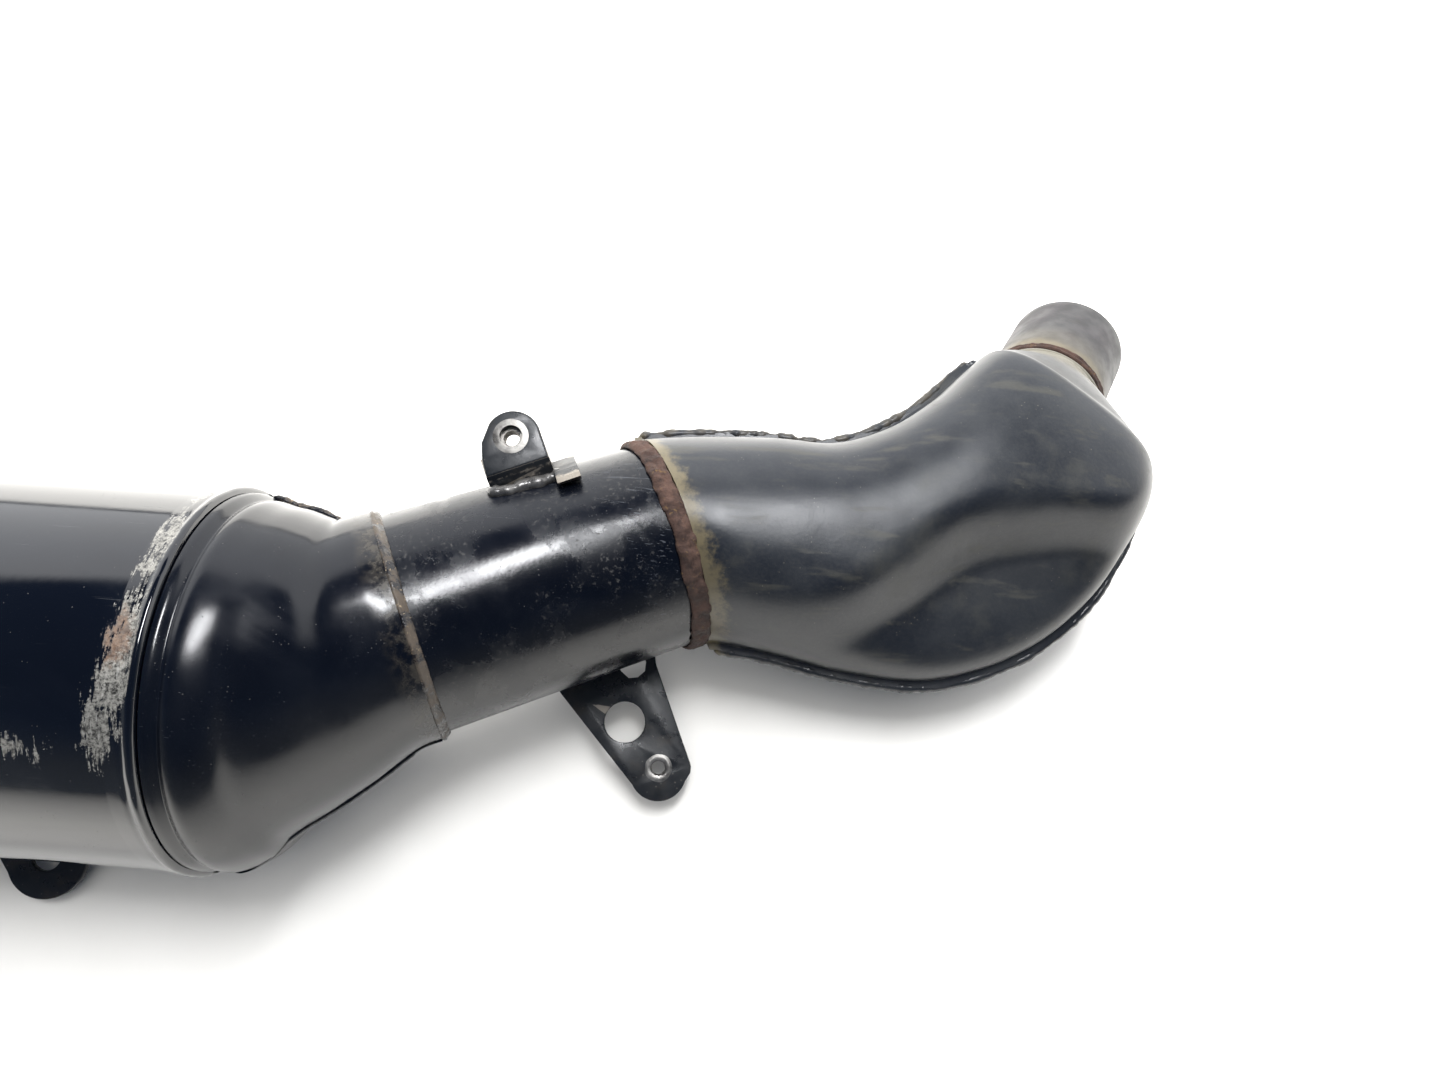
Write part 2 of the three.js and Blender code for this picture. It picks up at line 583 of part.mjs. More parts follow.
function makeRearTab() {
  const matrix = bracketMatrix(TAB_HOLE);
  const shape = new THREE.Shape();
  shape.moveTo(-20, 26);
  shape.absarc(0, -1, 13.5, Math.PI, Math.PI * 2, false);
  shape.lineTo(20, 26);
  shape.closePath();
  cutHole(shape, 0, 0, 5);
  const solid = toSolid(plate(shape, -PLATE, PLATE, matrix)).subtract(BODY_CLEAR());
  addPart('rear_tab', fromSolid(solid), 'bracket');
}

// The canister's pieces are drawn from their own front rim plane and moved to its place.
makeCanister();
makeInside();
makeEndCap();
for (const mesh of group.children) mesh.geometry.translate(FRONT_X, 0, 0);
makeCone();
makeLinkPipe();
makeElbow();
makeInlet();
makeUpperBracket();
makeLowerBracket();
makeRearTab();

const box = new THREE.Box3().setFromObject(group, true);
const middle = box.getCenter(v(0, 0, 0));
group.position.set(-middle.x, -middle.y, -box.min.z);

export default group;
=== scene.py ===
"""Looks of the motorcycle exhaust muffler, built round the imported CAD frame."""
import json
import math

import bmesh
import bpy
import numpy as np
from mathutils import Matrix, Vector, noise


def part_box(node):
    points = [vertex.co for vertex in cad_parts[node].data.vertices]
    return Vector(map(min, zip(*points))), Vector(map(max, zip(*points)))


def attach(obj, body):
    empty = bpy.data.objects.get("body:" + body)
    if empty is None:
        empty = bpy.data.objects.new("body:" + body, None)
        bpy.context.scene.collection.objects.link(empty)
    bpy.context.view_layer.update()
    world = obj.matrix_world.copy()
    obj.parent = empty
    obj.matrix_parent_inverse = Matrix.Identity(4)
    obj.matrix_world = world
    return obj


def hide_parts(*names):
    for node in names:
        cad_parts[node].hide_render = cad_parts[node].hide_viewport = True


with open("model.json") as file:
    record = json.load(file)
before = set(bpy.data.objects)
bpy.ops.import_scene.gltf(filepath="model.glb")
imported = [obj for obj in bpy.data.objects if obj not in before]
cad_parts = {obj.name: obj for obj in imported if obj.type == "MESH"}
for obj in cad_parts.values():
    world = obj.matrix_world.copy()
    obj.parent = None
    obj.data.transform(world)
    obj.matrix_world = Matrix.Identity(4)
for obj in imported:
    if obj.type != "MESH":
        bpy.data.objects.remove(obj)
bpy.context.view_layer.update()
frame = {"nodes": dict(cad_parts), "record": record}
scene = bpy.context.scene

# ---------------- the frame in millimetres
MM = 0.001
AXIS = (1, 0, 0)              # the canister and the tail lie along X


def unit(vector):
    vector = np.asarray(vector, float)
    return vector / np.linalg.norm(vector)


def box_centre(node):
    low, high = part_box(node)
    return (np.array(low) + np.array(high)) / 2


def box_size(node):
    low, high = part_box(node)
    return (np.array(high) - np.array(low)) / MM


# Design zero is on the canister axis, 13 mm behind the front rim plane; the lengths below are
# millimetres.
FRONT = 13.0
ZERO = box_centre("front_rim_ring") + np.array([(1 - FRONT) * MM, 0, 0])


def local(point):
    return (np.asarray(point, float) - ZERO) / MM


BODY_R = box_size("body_shell")[1] / 2
RIM_R = box_size("front_rim_ring")[1] / 2
REAR = local(box_centre("rear_rim_ring"))[0]
NECK_BEAD = local(box_centre("neck_weld_bead"))
LINK_END = local(box_centre("elbow_weld_ring"))
LINK_DIR = unit(LINK_END - NECK_BEAD)
NECK = NECK_BEAD - 2 * LINK_DIR
LINK_LENGTH = float(np.dot(LINK_END - NECK, LINK_DIR))
INLET_RING = local(box_centre("inlet_weld_ring"))
INLET_DIR = unit(local(box_centre("inlet_tube")) - INLET_RING)
INLET = INLET_RING - 3.6 * INLET_DIR
MOUNTS = {m["name"]: m for m in frame["record"]["mounts"]}
SEAM_N = unit(MOUNTS["upper_bracket_face"]["axis"])
BRACKET_X = unit(LINK_DIR - np.dot(LINK_DIR, SEAM_N) * SEAM_N)
BRACKET_Y = np.cross(SEAM_N, BRACKET_X)
LINK_R0, LINK_R1, INLET_R = 37.0, 35.6, 22.6
PRESS = 0.13                  # half width of a pressed step, as a share of the section
SHEET = 1.5
GAP = 0.3                     # clearance where one piece is cut to fit round another


# ---------------- mesh helpers
def smoothstep(low, high, x):
    t = np.clip((x - low) / (high - low), 0, 1)
    return t * t * (3 - 2 * t)


def wobble(points, size, seed=0.0, octaves=2):
    """Smooth noise from -1 to 1 at each point; size is the length of a bump in mm."""
    flat = np.asarray(points, float).reshape(-1, 3) / size + seed
    values = [noise.fractal(Vector(p), 0.9, 2.1, octaves) for p in flat]
    return np.array(values).reshape(np.asarray(points).shape[:-1])


def make_piece(name, vertices, faces, material, nodes, sharp=38):
    """A mesh piece from millimetre points: it rides on the root and stands for CAD nodes."""
    mesh = bpy.data.meshes.new(name)
    world = np.asarray(vertices, float) * MM + ZERO
    mesh.from_pydata(world.tolist(), [], faces)
    mesh.update()
    return finish_piece(name, mesh, material, nodes, sharp)


def turn_faces_out(mesh):
    work = bmesh.new()
    work.from_mesh(mesh)
    bmesh.ops.recalc_face_normals(work, faces=work.faces)
    work.to_mesh(mesh)
    work.free()


def finish_piece(name, mesh, material, nodes, sharp=38):
    """Smooths a mesh but for its sharp edges and enters it as one named piece."""
    turn_faces_out(mesh)
    mesh.polygons.foreach_set("use_smooth", [True] * len(mesh.polygons))
    mesh.set_sharp_from_angle(angle=math.radians(sharp))
    piece = bpy.data.objects.new(name, mesh)
    scene.collection.objects.link(piece)
    mesh.materials.clear()
    mesh.materials.append(material)
    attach(piece, "root")
    if nodes:
        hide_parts(*nodes)
    return piece


def grid_faces(rows, columns, start, wrap, flip=False):
    faces = []
    last = columns if wrap else columns - 1
    for i in range(rows - 1):
        for j in range(last):
            k = (j + 1) % columns
            quad = [start + i * columns + j, start + i * columns + k,
                    start + (i + 1) * columns + k, start + (i + 1) * columns + j]
            faces.append(quad[::-1] if flip else quad)
    return faces


def capped_faces(rows, columns):
    """Faces of a closed bar: rings joined along it and a cap at either end."""
    faces = grid_faces(rows, columns, 0, True)
    faces.append(list(range(columns))[::-1])
    faces.append([(rows - 1) * columns + j for j in range(columns)])
    return faces


def round_grid(profile, origin, direction, segments):
    """Points of a closed profile [(radius, distance)] turned round an axis."""
    side = unit(np.cross(direction, [0.13, 0.21, 0.97]))
    up = np.cross(direction, side)
    angles = np.linspace(0, 2 * math.pi, segments, endpoint=False)
    spokes = np.outer(np.cos(angles), side) + np.outer(np.sin(angles), up)
    profile = np.asarray(profile, float)
    return (np.asarray(origin) + profile[:, 1, None, None] * np.asarray(direction)
            + profile[:, 0, None, None] * spokes[None, :, :])


def revolve(name, profile, origin, direction, material, nodes, segments=160, rough=None,
            sharp=38):
    """A ring or tube whose closed profile is turned round an axis; rough moves its points."""
    grid = round_grid(profile, origin, direction, segments)
    if rough:
        grid = rough(grid, np.asarray(origin), np.asarray(direction))
    rows, columns = len(profile), segments
    faces = []
    for i in range(rows):
        for j in range(columns):
            k, n = (j + 1) % columns, (i + 1) % rows
            faces.append([i * columns + j, i * columns + k, n * columns + k, n * columns + j])
    return make_piece(name, grid.reshape(-1, 3), faces, material, nodes, sharp)


def outward(grid, origin, direction):
    """Unit direction away from an axis, and distance from it, at each point."""
    away = grid - origin
    away = away - (away @ direction)[:, :, None] * direction
    length = np.linalg.norm(away, axis=2)
    return away / length[:, :, None], length


def grid_normals(rows):
    normal = np.cross(np.gradient(rows, axis=1), np.gradient(rows, axis=0))
    return normal / np.linalg.norm(normal, axis=2)[:, :, None]


def sheet(name, rows, side, thickness, material, nodes, sharp=50):
    """Thickens an open grid of points into one closed stamped sheet."""
    n, m = rows.shape[:2]
    outer = rows + grid_normals(rows) * side * thickness
    points = np.concatenate([rows.reshape(-1, 3), outer.reshape(-1, 3)])
    top = n * m
    faces = grid_faces(n, m, 0, False, True) + grid_faces(n, m, top, False)
    for i in range(n - 1):
        for j in (0, m - 1):
            faces.append([i * m + j, top + i * m + j, top + (i + 1) * m + j, (i + 1) * m + j])
    for j in range(m - 1):
        for i in (0, n - 1):
            faces.append([i * m + j, top + i * m + j, top + i * m + j + 1, i * m + j + 1])
    return make_piece(name, points, faces, material, nodes, sharp)


def sweep_points(path, radii, sides, squash):
    """Rings of points round a path, with the ring's two widths scaled by squash."""
    path = np.asarray(path, float)
    tangent = np.gradient(path, axis=0)
    tangent /= np.linalg.norm(tangent, axis=1)[:, None]
    side = np.cross(tangent, [0.0, 0.0, 1.0])
    side /= np.linalg.norm(side, axis=1)[:, None]
    up = np.cross(side, tangent)
    angles = np.linspace(0, 2 * math.pi, sides, endpoint=False)
    radii = np.asarray(radii, float)[:, None, None]
    ring = (np.cos(angles)[None, :, None] * side[:, None, :] * squash[0]
            + np.sin(angles)[None, :, None] * up[:, None, :] * squash[1])
    return path[:, None, :] + radii * ring


BEAD_SIDES = 12


def bead(name, path, radius, material, nodes, seed, lump=0.35, pitch=3.0, squash=(1, 1)):
    """An irregular weld bead along a path, with the ripples of its solidified pools."""
    path = resample(path, max(12, int(path_length(path) / 0.7)))
    count = len(path)
    travel = np.linspace(0, path_length(path), count)
    ripple = 1 + 0.10 * np.abs(np.sin(math.pi * travel / pitch))
    thick = ripple * (1 + lump * wobble(path, 6.0, seed))
    ends = np.minimum(1, np.sqrt(np.minimum(travel, travel[-1] - travel) / 2 + 0.02))
    rings = sweep_points(path, radius * thick * ends, BEAD_SIDES, squash)
    rings += wobble(rings, 1.6, seed + 9)[:, :, None] * radius * 0.16
    faces = capped_faces(count, BEAD_SIDES)
    return make_piece(name, rings.reshape(-1, 3), faces, material, nodes, 60)


def path_length(path):
    return float(np.linalg.norm(np.diff(np.asarray(path), axis=0), axis=1).sum())


def resample(path, count):
    path = np.asarray(path, float)
    steps = np.concatenate([[0], np.cumsum(np.linalg.norm(np.diff(path, axis=0), axis=1))])
    wanted = np.linspace(0, steps[-1], count)
    return np.stack([np.interp(wanted, steps, path[:, k]) for k in range(3)], axis=1)


# ---------------- materials
class Shading:
    """Small helpers that add nodes to a material's or a world's tree."""

    def __init__(self, tree):
        self.nodes, self.links = tree.nodes, tree.links

    def link(self, source, target):
        if isinstance(source, (int, float)):
            target.default_value = source
        elif isinstance(source, tuple):
            target.default_value = (*source, 1) if len(source) == 3 else source
        else:
            self.links.new(source, target)

    def ramp(self, source, low, high, start=0.0, end=1.0):
        node = self.nodes.new("ShaderNodeMapRange")
        node.interpolation_type = "SMOOTHSTEP"
        self.link(source, node.inputs["Value"])
        for key, value in zip(("From Min", "From Max", "To Min", "To Max"), (low, high, start, end)):
            node.inputs[key].default_value = value
        return node.outputs["Result"]

    def math(self, operation, a, b):
        node = self.nodes.new("ShaderNodeMath")
        node.operation = operation
        self.link(a, node.inputs[0])
        self.link(b, node.inputs[1])
        return node.outputs[0]

    def times(self, a, b):
        return self.math("MULTIPLY", a, b)

    def plus(self, a, b):
        return self.math("ADD", a, b)

    def minus(self, a, b):
        return self.math("SUBTRACT", a, b)

    def mix(self, factor, a, b):
        node = self.nodes.new("ShaderNodeMix")
        node.data_type = "RGBA"
        self.link(factor, node.inputs[0])
        self.link(a, node.inputs[6])
        self.link(b, node.inputs[7])
        return node.outputs[2]

    def tint(self, colour, cover, share, tone):
        """Lays a tone over a colour where cover is 1, as strongly as share."""
        return self.mix(self.times(cover, share), colour, tone)


class Look(Shading):
    """Builds one procedural material; every number reaches the Principled shader by name."""

    def __init__(self, name, **plain):
        self.material = bpy.data.materials.new(name)
        self.material.use_nodes = True
        super().__init__(self.material.node_tree)
        self.shader = self.nodes["Principled BSDF"]
        for key, value in plain.items():
            self.shader.inputs[key.replace("_", " ")].default_value = value
        place = self.nodes.new("ShaderNodeTexCoord")
        self.place = place.outputs["Object"]
        self.height = None

    def moved(self, centre, size, turn=(0, 0, 0)):
        """Coordinates about a point, in mm of the design frame, divided by a size."""
        shift = self.nodes.new("ShaderNodeVectorMath")
        shift.operation = "SUBTRACT"
        self.links.new(self.place, shift.inputs[0])
        shift.inputs[1].default_value = tuple(ZERO + np.asarray(centre, float) * MM)
        mapping = self.nodes.new("ShaderNodeMapping")
        mapping.vector_type = "POINT"
        mapping.inputs["Rotation"].default_value = turn
        mapping.inputs["Scale"].default_value = tuple(1 / (s * MM) for s in size)
        self.links.new(shift.outputs[0], mapping.inputs["Vector"])
        return mapping.outputs[0]

    def noise(self, size, detail=3.0, rough=0.55, source=None, distortion=0.0):
        """Noise whose bumps are about size mm long."""
        node = self.nodes.new("ShaderNodeTexNoise")
        node.inputs["Scale"].default_value = 1 / (size * MM) if source is None else size
        node.inputs["Detail"].default_value = detail
        node.inputs["Roughness"].default_value = rough
        node.inputs["Distortion"].default_value = distortion
        self.links.new(source or self.place, node.inputs["Vector"])
        return node.outputs["Fac"]

    def streaks(self, size, turn, detail=2.0):
        """Noise stretched along one direction; size gives the three lengths in mm."""
        return self.noise(1.0, detail, 0.6, self.moved((0, 0, 0), size, turn))

    def cells(self, size):
        """Distance to the nearest of scattered points about size mm apart."""
        node = self.nodes.new("ShaderNodeTexVoronoi")
        node.inputs["Scale"].default_value = 1 / (size * MM)
        self.links.new(self.place, node.inputs["Vector"])
        return node.outputs["Distance"]

    def distance(self, centre, size):
        """0 at a point and 1 at the given distances from it."""
        node = self.nodes.new("ShaderNodeVectorMath")
        node.operation = "LENGTH"
        self.links.new(self.moved(centre, size), node.inputs[0])
        return node.outputs["Value"]

    def travel(self, centre, direction):
        """Distance in mm from a point along a direction."""
        node = self.nodes.new("ShaderNodeVectorMath")
        node.operation = "DOT_PRODUCT"
        self.links.new(self.moved(centre, (1, 1, 1)), node.inputs[0])
        node.inputs[1].default_value = tuple(direction)
        return node.outputs["Value"]

    def edges(self, low, high):
        """1 on convex edges."""
        geometry = self.nodes.new("ShaderNodeNewGeometry")
        return self.ramp(geometry.outputs["Pointiness"], low, high)

    def blend(self, factor, a, b):
        node = self.nodes.new("ShaderNodeMix")
        node.data_type = "FLOAT"
        self.link(factor, node.inputs[0])
        self.link(a, node.inputs[2])
        self.link(b, node.inputs[3])
        return node.outputs[0]

    def bump(self, source, depth):
        """Adds a height of depth mm to the surface."""
        node = self.nodes.new("ShaderNodeBump")
        node.inputs["Strength"].default_value = 1.0
        node.inputs["Distance"].default_value = depth * MM
        self.link(source, node.inputs["Height"])
        if self.height is not None:
            self.links.new(self.height, node.inputs["Normal"])
        self.height = node.outputs["Normal"]

    def finish(self, colour, roughness, metallic):
        self.link(colour, self.shader.inputs["Base Color"])
        self.link(roughness, self.shader.inputs["Roughness"])
        self.link(metallic, self.shader.inputs["Metallic"])
        if self.height is not None:
            self.links.new(self.height, self.shader.inputs["Normal"])
        return self.material


def polar(angle, x):
    """Point on the canister; the angle is from straight up towards +Y, in degrees."""
    a = math.radians(angle)
    return (x, BODY_R * math.sin(a), BODY_R * math.cos(a))


def specks(look, size, share):
    """Small separate dots: 1 inside a dot."""
    dots = look.ramp(look.cells(size), 0.10, 0.16, 1.0, 0.0)
    return look.times(dots, look.ramp(look.noise(size * 4), 1 - share, 1.02 - share))


def gloss_parts(name, specular=0.55, coat=0.35):
    """Gloss enamel over steel: orange peel, fine scratches, dust specks."""
    look = Look(name, Specular_IOR_Level=specular, Coat_Weight=coat, Coat_Roughness=0.04)
    fine = look.streaks((60, 0.5, 0.5), (0.2, 0.5, 0.9))
    cross = look.streaks((40, 0.4, 0.4), (0.9, -0.4, -0.7))
    scratch = look.math("MAXIMUM", look.ramp(fine, 0.70, 0.74), look.ramp(cross, 0.72, 0.76))
    patchy = look.ramp(look.noise(24, 3), 0.46, 0.62)
    scratch = look.times(scratch, patchy)
    dust = specks(look, 1.5, 0.42)
    smear = look.ramp(look.noise(35, 4, 0.6, None, 0.6), 0.35, 0.7)
    colour = look.mix(smear, (0.0008, 0.0012, 0.0026), (0.0018, 0.0024, 0.0042))
    colour = look.tint(colour, scratch, 0.35, (0.035, 0.040, 0.046))
    colour = look.tint(colour, dust, 0.22, (0.06, 0.058, 0.052))
    rough = look.plus(look.ramp(smear, 0, 1, 0.075, 0.16), look.times(scratch, 0.15))
    rough = look.plus(rough, look.times(dust, 0.35))
    look.bump(look.noise(3.2, 2, 0.4), 0.012)
    look.bump(look.minus(0.0, scratch), 0.01)
    return look, colour, rough


def gloss_black():
    look, colour, rough = gloss_parts("gloss_black")
    return look.finish(colour, rough, 0.0)


def link_gloss():
    """The link pipe's enamel: softer and mottled where heat has pitted it."""
    look, colour, rough = gloss_parts("link_gloss_black", 0.42, 0.0)
    pits = look.ramp(look.noise(1.5, 4, 0.75), 0.56, 0.66)
    cloud = look.ramp(look.noise(16, 4, 0.6, None, 0.5), 0.42, 0.60)
    pits = look.times(pits, cloud)
    colour = look.tint(colour, pits, 0.6, (0.034, 0.033, 0.032))
    rub = look.ramp(look.streaks((26, 0.7, 0.7), (0, 0.11, -0.465), 3), 0.60, 0.70)
    end = look.ramp(look.travel(LINK_END, LINK_DIR), -26, -10)
    rub = look.times(rub, end)
    colour = look.tint(colour, rub, 0.45, (0.055, 0.060, 0.070))
    rough = look.plus(rough, look.ramp(cloud, 0, 1, 0.09, 0.20))
    rough = look.plus(rough, look.times(pits, 0.25))
    look.bump(look.noise(2.0, 4, 0.65), 0.03)
    return look.finish(colour, rough, 0.0)


def cone_gloss():
    """The cone's enamel: as black as the canister's but less sharply reflecting."""
    look, colour, rough = gloss_parts("cone_gloss_black", 0.45, 0.0)
    grime = look.ramp(look.travel(NECK, LINK_DIR), -9, -1, 0.0, 0.7)
    grime = look.times(grime, look.ramp(look.noise(5, 5, 0.7), 0.40, 0.65))
    colour = look.mix(grime, colour, (0.030, 0.026, 0.020))
    rough = look.plus(rough, look.ramp(look.noise(22, 3), 0.35, 0.65, 0.04, 0.10))
    rough = look.plus(rough, look.times(grime, 0.3))
    return look.finish(colour, rough, 0.0)


def canister_black():
    """Gloss enamel with the long scrape beside the front rim: bare steel and rust."""
    look, colour, rough = gloss_parts("canister_gloss_black")
    ragged = look.minus(look.noise(7, 7, 0.8, None, 0.8), 0.5)
    lines = look.streaks((1.1, 9, 9), (0.5, 0.0, 0.12), 3)
    ragged = look.plus(look.times(ragged, 2.6),
                       look.times(look.minus(lines, 0.5), 2.0))
    patch = look.distance(polar(-14, FRONT - 6), (6, 24, 60))
    lower = look.distance(polar(-31, FRONT - 10), (6, 10, 40))
    nick = look.distance(polar(-38, FRONT - 34), (15, 6, 40))
    near = look.math("MINIMUM", patch, look.math("MINIMUM", lower, look.plus(nick, 0.45)))
    torn = look.plus(near, ragged)
    bare = look.ramp(torn, 0.60, 0.78, 1.0, 0.0)
    upper = look.distance(polar(20, FRONT - 5), (5, 32, 60))
    chips = look.plus(upper, look.times(ragged, 1.2))
    bare = look.math("MAXIMUM", bare, look.ramp(chips, 0.35, 0.6, 0.55, 0.0))
    inside = look.ramp(look.travel((0, 0, 0), AXIS), FRONT - 2.5, FRONT - 1.5, 1.0, 0.0)
    bare = look.times(bare, inside)
    dull = look.noise(1.3, 6, 0.8)
    steel = look.mix(look.ramp(dull, 0.36, 0.60), (0.020, 0.019, 0.018), (0.34, 0.33, 0.30))
    steel = look.mix(look.ramp(lines, 0.55, 0.75), steel, (0.50, 0.49, 0.46))
    rust_at = look.distance(polar(-8, FRONT - 8), (7, 11, 30))
    rust_at = look.plus(rust_at, look.times(look.noise(3, 5, 0.8), 1.6))
    rust = look.ramp(rust_at, 1.25, 1.65, 0.85, 0.0)
    brown = look.mix(look.ramp(look.noise(1.6, 4, 0.7), 0.4, 0.6), (0.030, 0.015, 0.009),
                     (0.085, 0.047, 0.027))
    steel = look.mix(rust, steel, brown)
    colour = look.mix(bare, colour, steel)
    rough = look.blend(bare, rough, look.ramp(look.noise(1.2, 3), 0.3, 0.7, 0.30, 0.6))
    metal = look.times(bare, look.ramp(rust, 0, 1, 0.8, 0.1))
    look.bump(bare, -0.08)
    look.bump(look.times(bare, look.noise(1.0, 5, 0.8)), 0.25)
    return look.finish(colour, rough, metal)


def seam_brown():
    """Black seam bead with brown dirt and small gold flecks along its crest."""
    look = Look("seam_brown", Specular_IOR_Level=0.5)
    dirt = look.ramp(look.noise(5, 5, 0.7), 0.42, 0.6)
    colour = look.mix(dirt, (0.004, 0.004, 0.005), (0.040, 0.031, 0.023))
    fleck = look.ramp(look.noise(1.4, 4, 0.8), 0.62, 0.68)
    colour = look.mix(fleck, colour, (0.26, 0.20, 0.13))
    look.bump(look.noise(1.3, 4, 0.7), 0.2)
    return look.finish(colour, look.ramp(dirt, 0, 1, 0.22, 0.6), 0.0)


def satin_black(name, dirt=0.0):
    """Heat-proof satin paint: cloudy, olive dust in the hollows, beige near the inlet."""
    look = Look(name, Specular_IOR_Level=0.45)
    cloud = look.noise(38, 4, 0.6)
    colour = look.mix(look.ramp(cloud, 0.38, 0.66), (0.0060, 0.0074, 0.0105), (0.0120, 0.0136, 0.0165))
    dust = look.ramp(look.noise(24, 5, 0.65), 0.50, 0.72)
    streak = look.ramp(look.streaks((30, 5, 5), (0, 0, 0.75), 3), 0.56, 0.74)
    dust = look.math("MAXIMUM", look.times(dust, 0.7), streak)
    colour = look.tint(colour, dust, 0.27, (0.055, 0.052, 0.038))
    grain = look.noise(1.1, 3, 0.6)
    colour = look.mix(look.ramp(grain, 0.35, 0.75, 0, 0.12), colour, (0.040, 0.040, 0.037))
    scuff = look.ramp(look.streaks((30, 0.8, 0.8), (0.1, 0.2, 0.35), 3), 0.69, 0.73)
    scuff = look.times(scuff, look.ramp(look.noise(18, 2), 0.52, 0.62))
    colour = look.tint(colour, scuff, 0.5, (0.003, 0.003, 0.004))
    colour = look.tint(colour, specks(look, 1.7, 0.40), 0.3, (0.13, 0.12, 0.10))
    along = look.plus(look.travel(INLET, INLET_DIR),
                      look.times(look.minus(look.noise(7, 4), 0.5), 8.0))
    colour = look.mix(look.ramp(along, -15, -6), colour, (0.066, 0.061, 0.046))
    weld = look.plus(look.travel(LINK_END, LINK_DIR),
                     look.times(look.minus(look.noise(4, 5, 0.7), 0.5), 14.0))
    colour = look.mix(look.ramp(weld, 4, 9, 0.75, 0.0), colour, (0.085, 0.070, 0.040))
    if dirt:
        muck = look.ramp(look.noise(6, 5, 0.7), 0.36, 0.60)
        colour = look.tint(colour, muck, dirt, (0.036, 0.031, 0.024))
    rough = look.ramp(cloud, 0.3, 0.7, 0.30, 0.40)
    rough = look.plus(rough, look.times(dust, 0.1))
    look.bump(look.noise(9, 3, 0.5), 0.08)
    look.bump(grain, 0.02)
    return look.finish(colour, rough, 0.0)


def rusty_weld():
    look = Look("rusty_weld", Specular_IOR_Level=0.35)
    blotch = look.noise(5, 5, 0.7)
    colour = look.mix(look.ramp(blotch, 0.35, 0.65), (0.019, 0.0105, 0.0085), (0.048, 0.028, 0.022))
    spot = look.ramp(look.noise(2.3, 4, 0.75), 0.60, 0.70)
    colour = look.tint(colour, spot, 0.65, (0.110, 0.068, 0.026))
    dark = look.ramp(look.noise(3.5, 3, 0.6), 0.28, 0.42, 1.0, 0.0)
    colour = look.tint(colour, dark, 0.6, (0.007, 0.005, 0.005))
    look.bump(look.noise(1.6, 5, 0.75), 0.55)
    return look.finish(colour, look.ramp(blotch, 0.3, 0.7, 0.62, 0.9), 0.1)


def stub_steel():
    """Heat-stained stub: beige by the weld, a yellow band, then dull grey to the end."""
    look = Look("stub_steel", Specular_IOR_Level=0.4)
    along = look.travel(INLET, INLET_DIR)
    uneven = look.times(look.minus(look.noise(14, 4, 0.6), 0.5), 9.0)
    along = look.plus(along, uneven)
    colour = look.mix(look.ramp(along, 9, 15), (0.085, 0.072, 0.049), (0.052, 0.048, 0.042))
    colour = look.mix(look.ramp(along, 15, 26), colour, (0.027, 0.0265, 0.028))
    tint = look.ramp(look.noise(16, 3, 0.5), 0.45, 0.65)
    colour = look.tint(colour, tint, 0.3, (0.036, 0.030, 0.035))
    brown = look.ramp(along, 4.5, 8.5, 1.0, 0.0)
    colour = look.mix(brown, colour, (0.034, 0.020, 0.015))
    stain = look.ramp(look.noise(6, 5, 0.7), 0.5, 0.72)
    colour = look.tint(colour, stain, 0.3, (0.030, 0.027, 0.024))
    look.bump(look.noise(1.2, 4, 0.6), 0.03)
    look.bump(look.noise(10, 2, 0.4), 0.08)
    return look.finish(colour, look.ramp(look.noise(9, 3), 0.3, 0.7, 0.45, 0.62), 0.25)


def bracket_black():
    """Thin black paint, worn bright on its edges and dusty brown in places."""
    look = Look("bracket_black", Specular_IOR_Level=0.5)
    worn = look.plus(look.edges(0.52, 0.62), look.times(look.noise(2.5, 5, 0.7), 0.8))
    worn = look.ramp(worn, 1.12, 1.3)
    dust = look.ramp(look.noise(9, 5, 0.65), 0.5, 0.7)
    colour = look.mix(look.noise(12, 3), (0.0025, 0.0035, 0.0050), (0.0090, 0.0100, 0.0115))
    colour = look.tint(colour, dust, 0.28, (0.035, 0.027, 0.018))
    colour = look.tint(colour, specks(look, 2.0, 0.5), 0.4, (0.12, 0.11, 0.10))
    colour = look.mix(worn, colour, (0.20, 0.18, 0.155))
    rough = look.ramp(look.noise(7, 4), 0.3, 0.7, 0.24, 0.46)
    look.bump(look.noise(2.0, 4, 0.6), 0.05)
    return look.finish(colour, rough, look.times(worn, 0.7))


def plain_metal(name, dark, light, rough=(0.3, 0.5), metal=0.9):
    look = Look(name)
    cloud = look.noise(8, 4, 0.6)
    colour = look.mix(look.ramp(cloud, 0.3, 0.7), dark, light)
    stain = look.ramp(look.noise(3, 4, 0.7), 0.55, 0.7)
    colour = look.tint(colour, stain, 0.4, tuple(0.4 * c for c in dark))
    look.bump(look.noise(0.9, 4, 0.6), 0.03)
    return look.finish(colour, look.ramp(cloud, 0.3, 0.7, *rough), metal)


def glass_wool():
    look = Look("glass_wool", Specular_IOR_Level=0.2)
    fibre = look.streaks((30, 0.8, 0.8), (0.3, 0.7, 0.2), 4)
    colour = look.mix(fibre, (0.42, 0.35, 0.20), (0.72, 0.66, 0.48))
    look.bump(fibre, 0.6)
    return look.finish(colour, 0.95, 0.0)


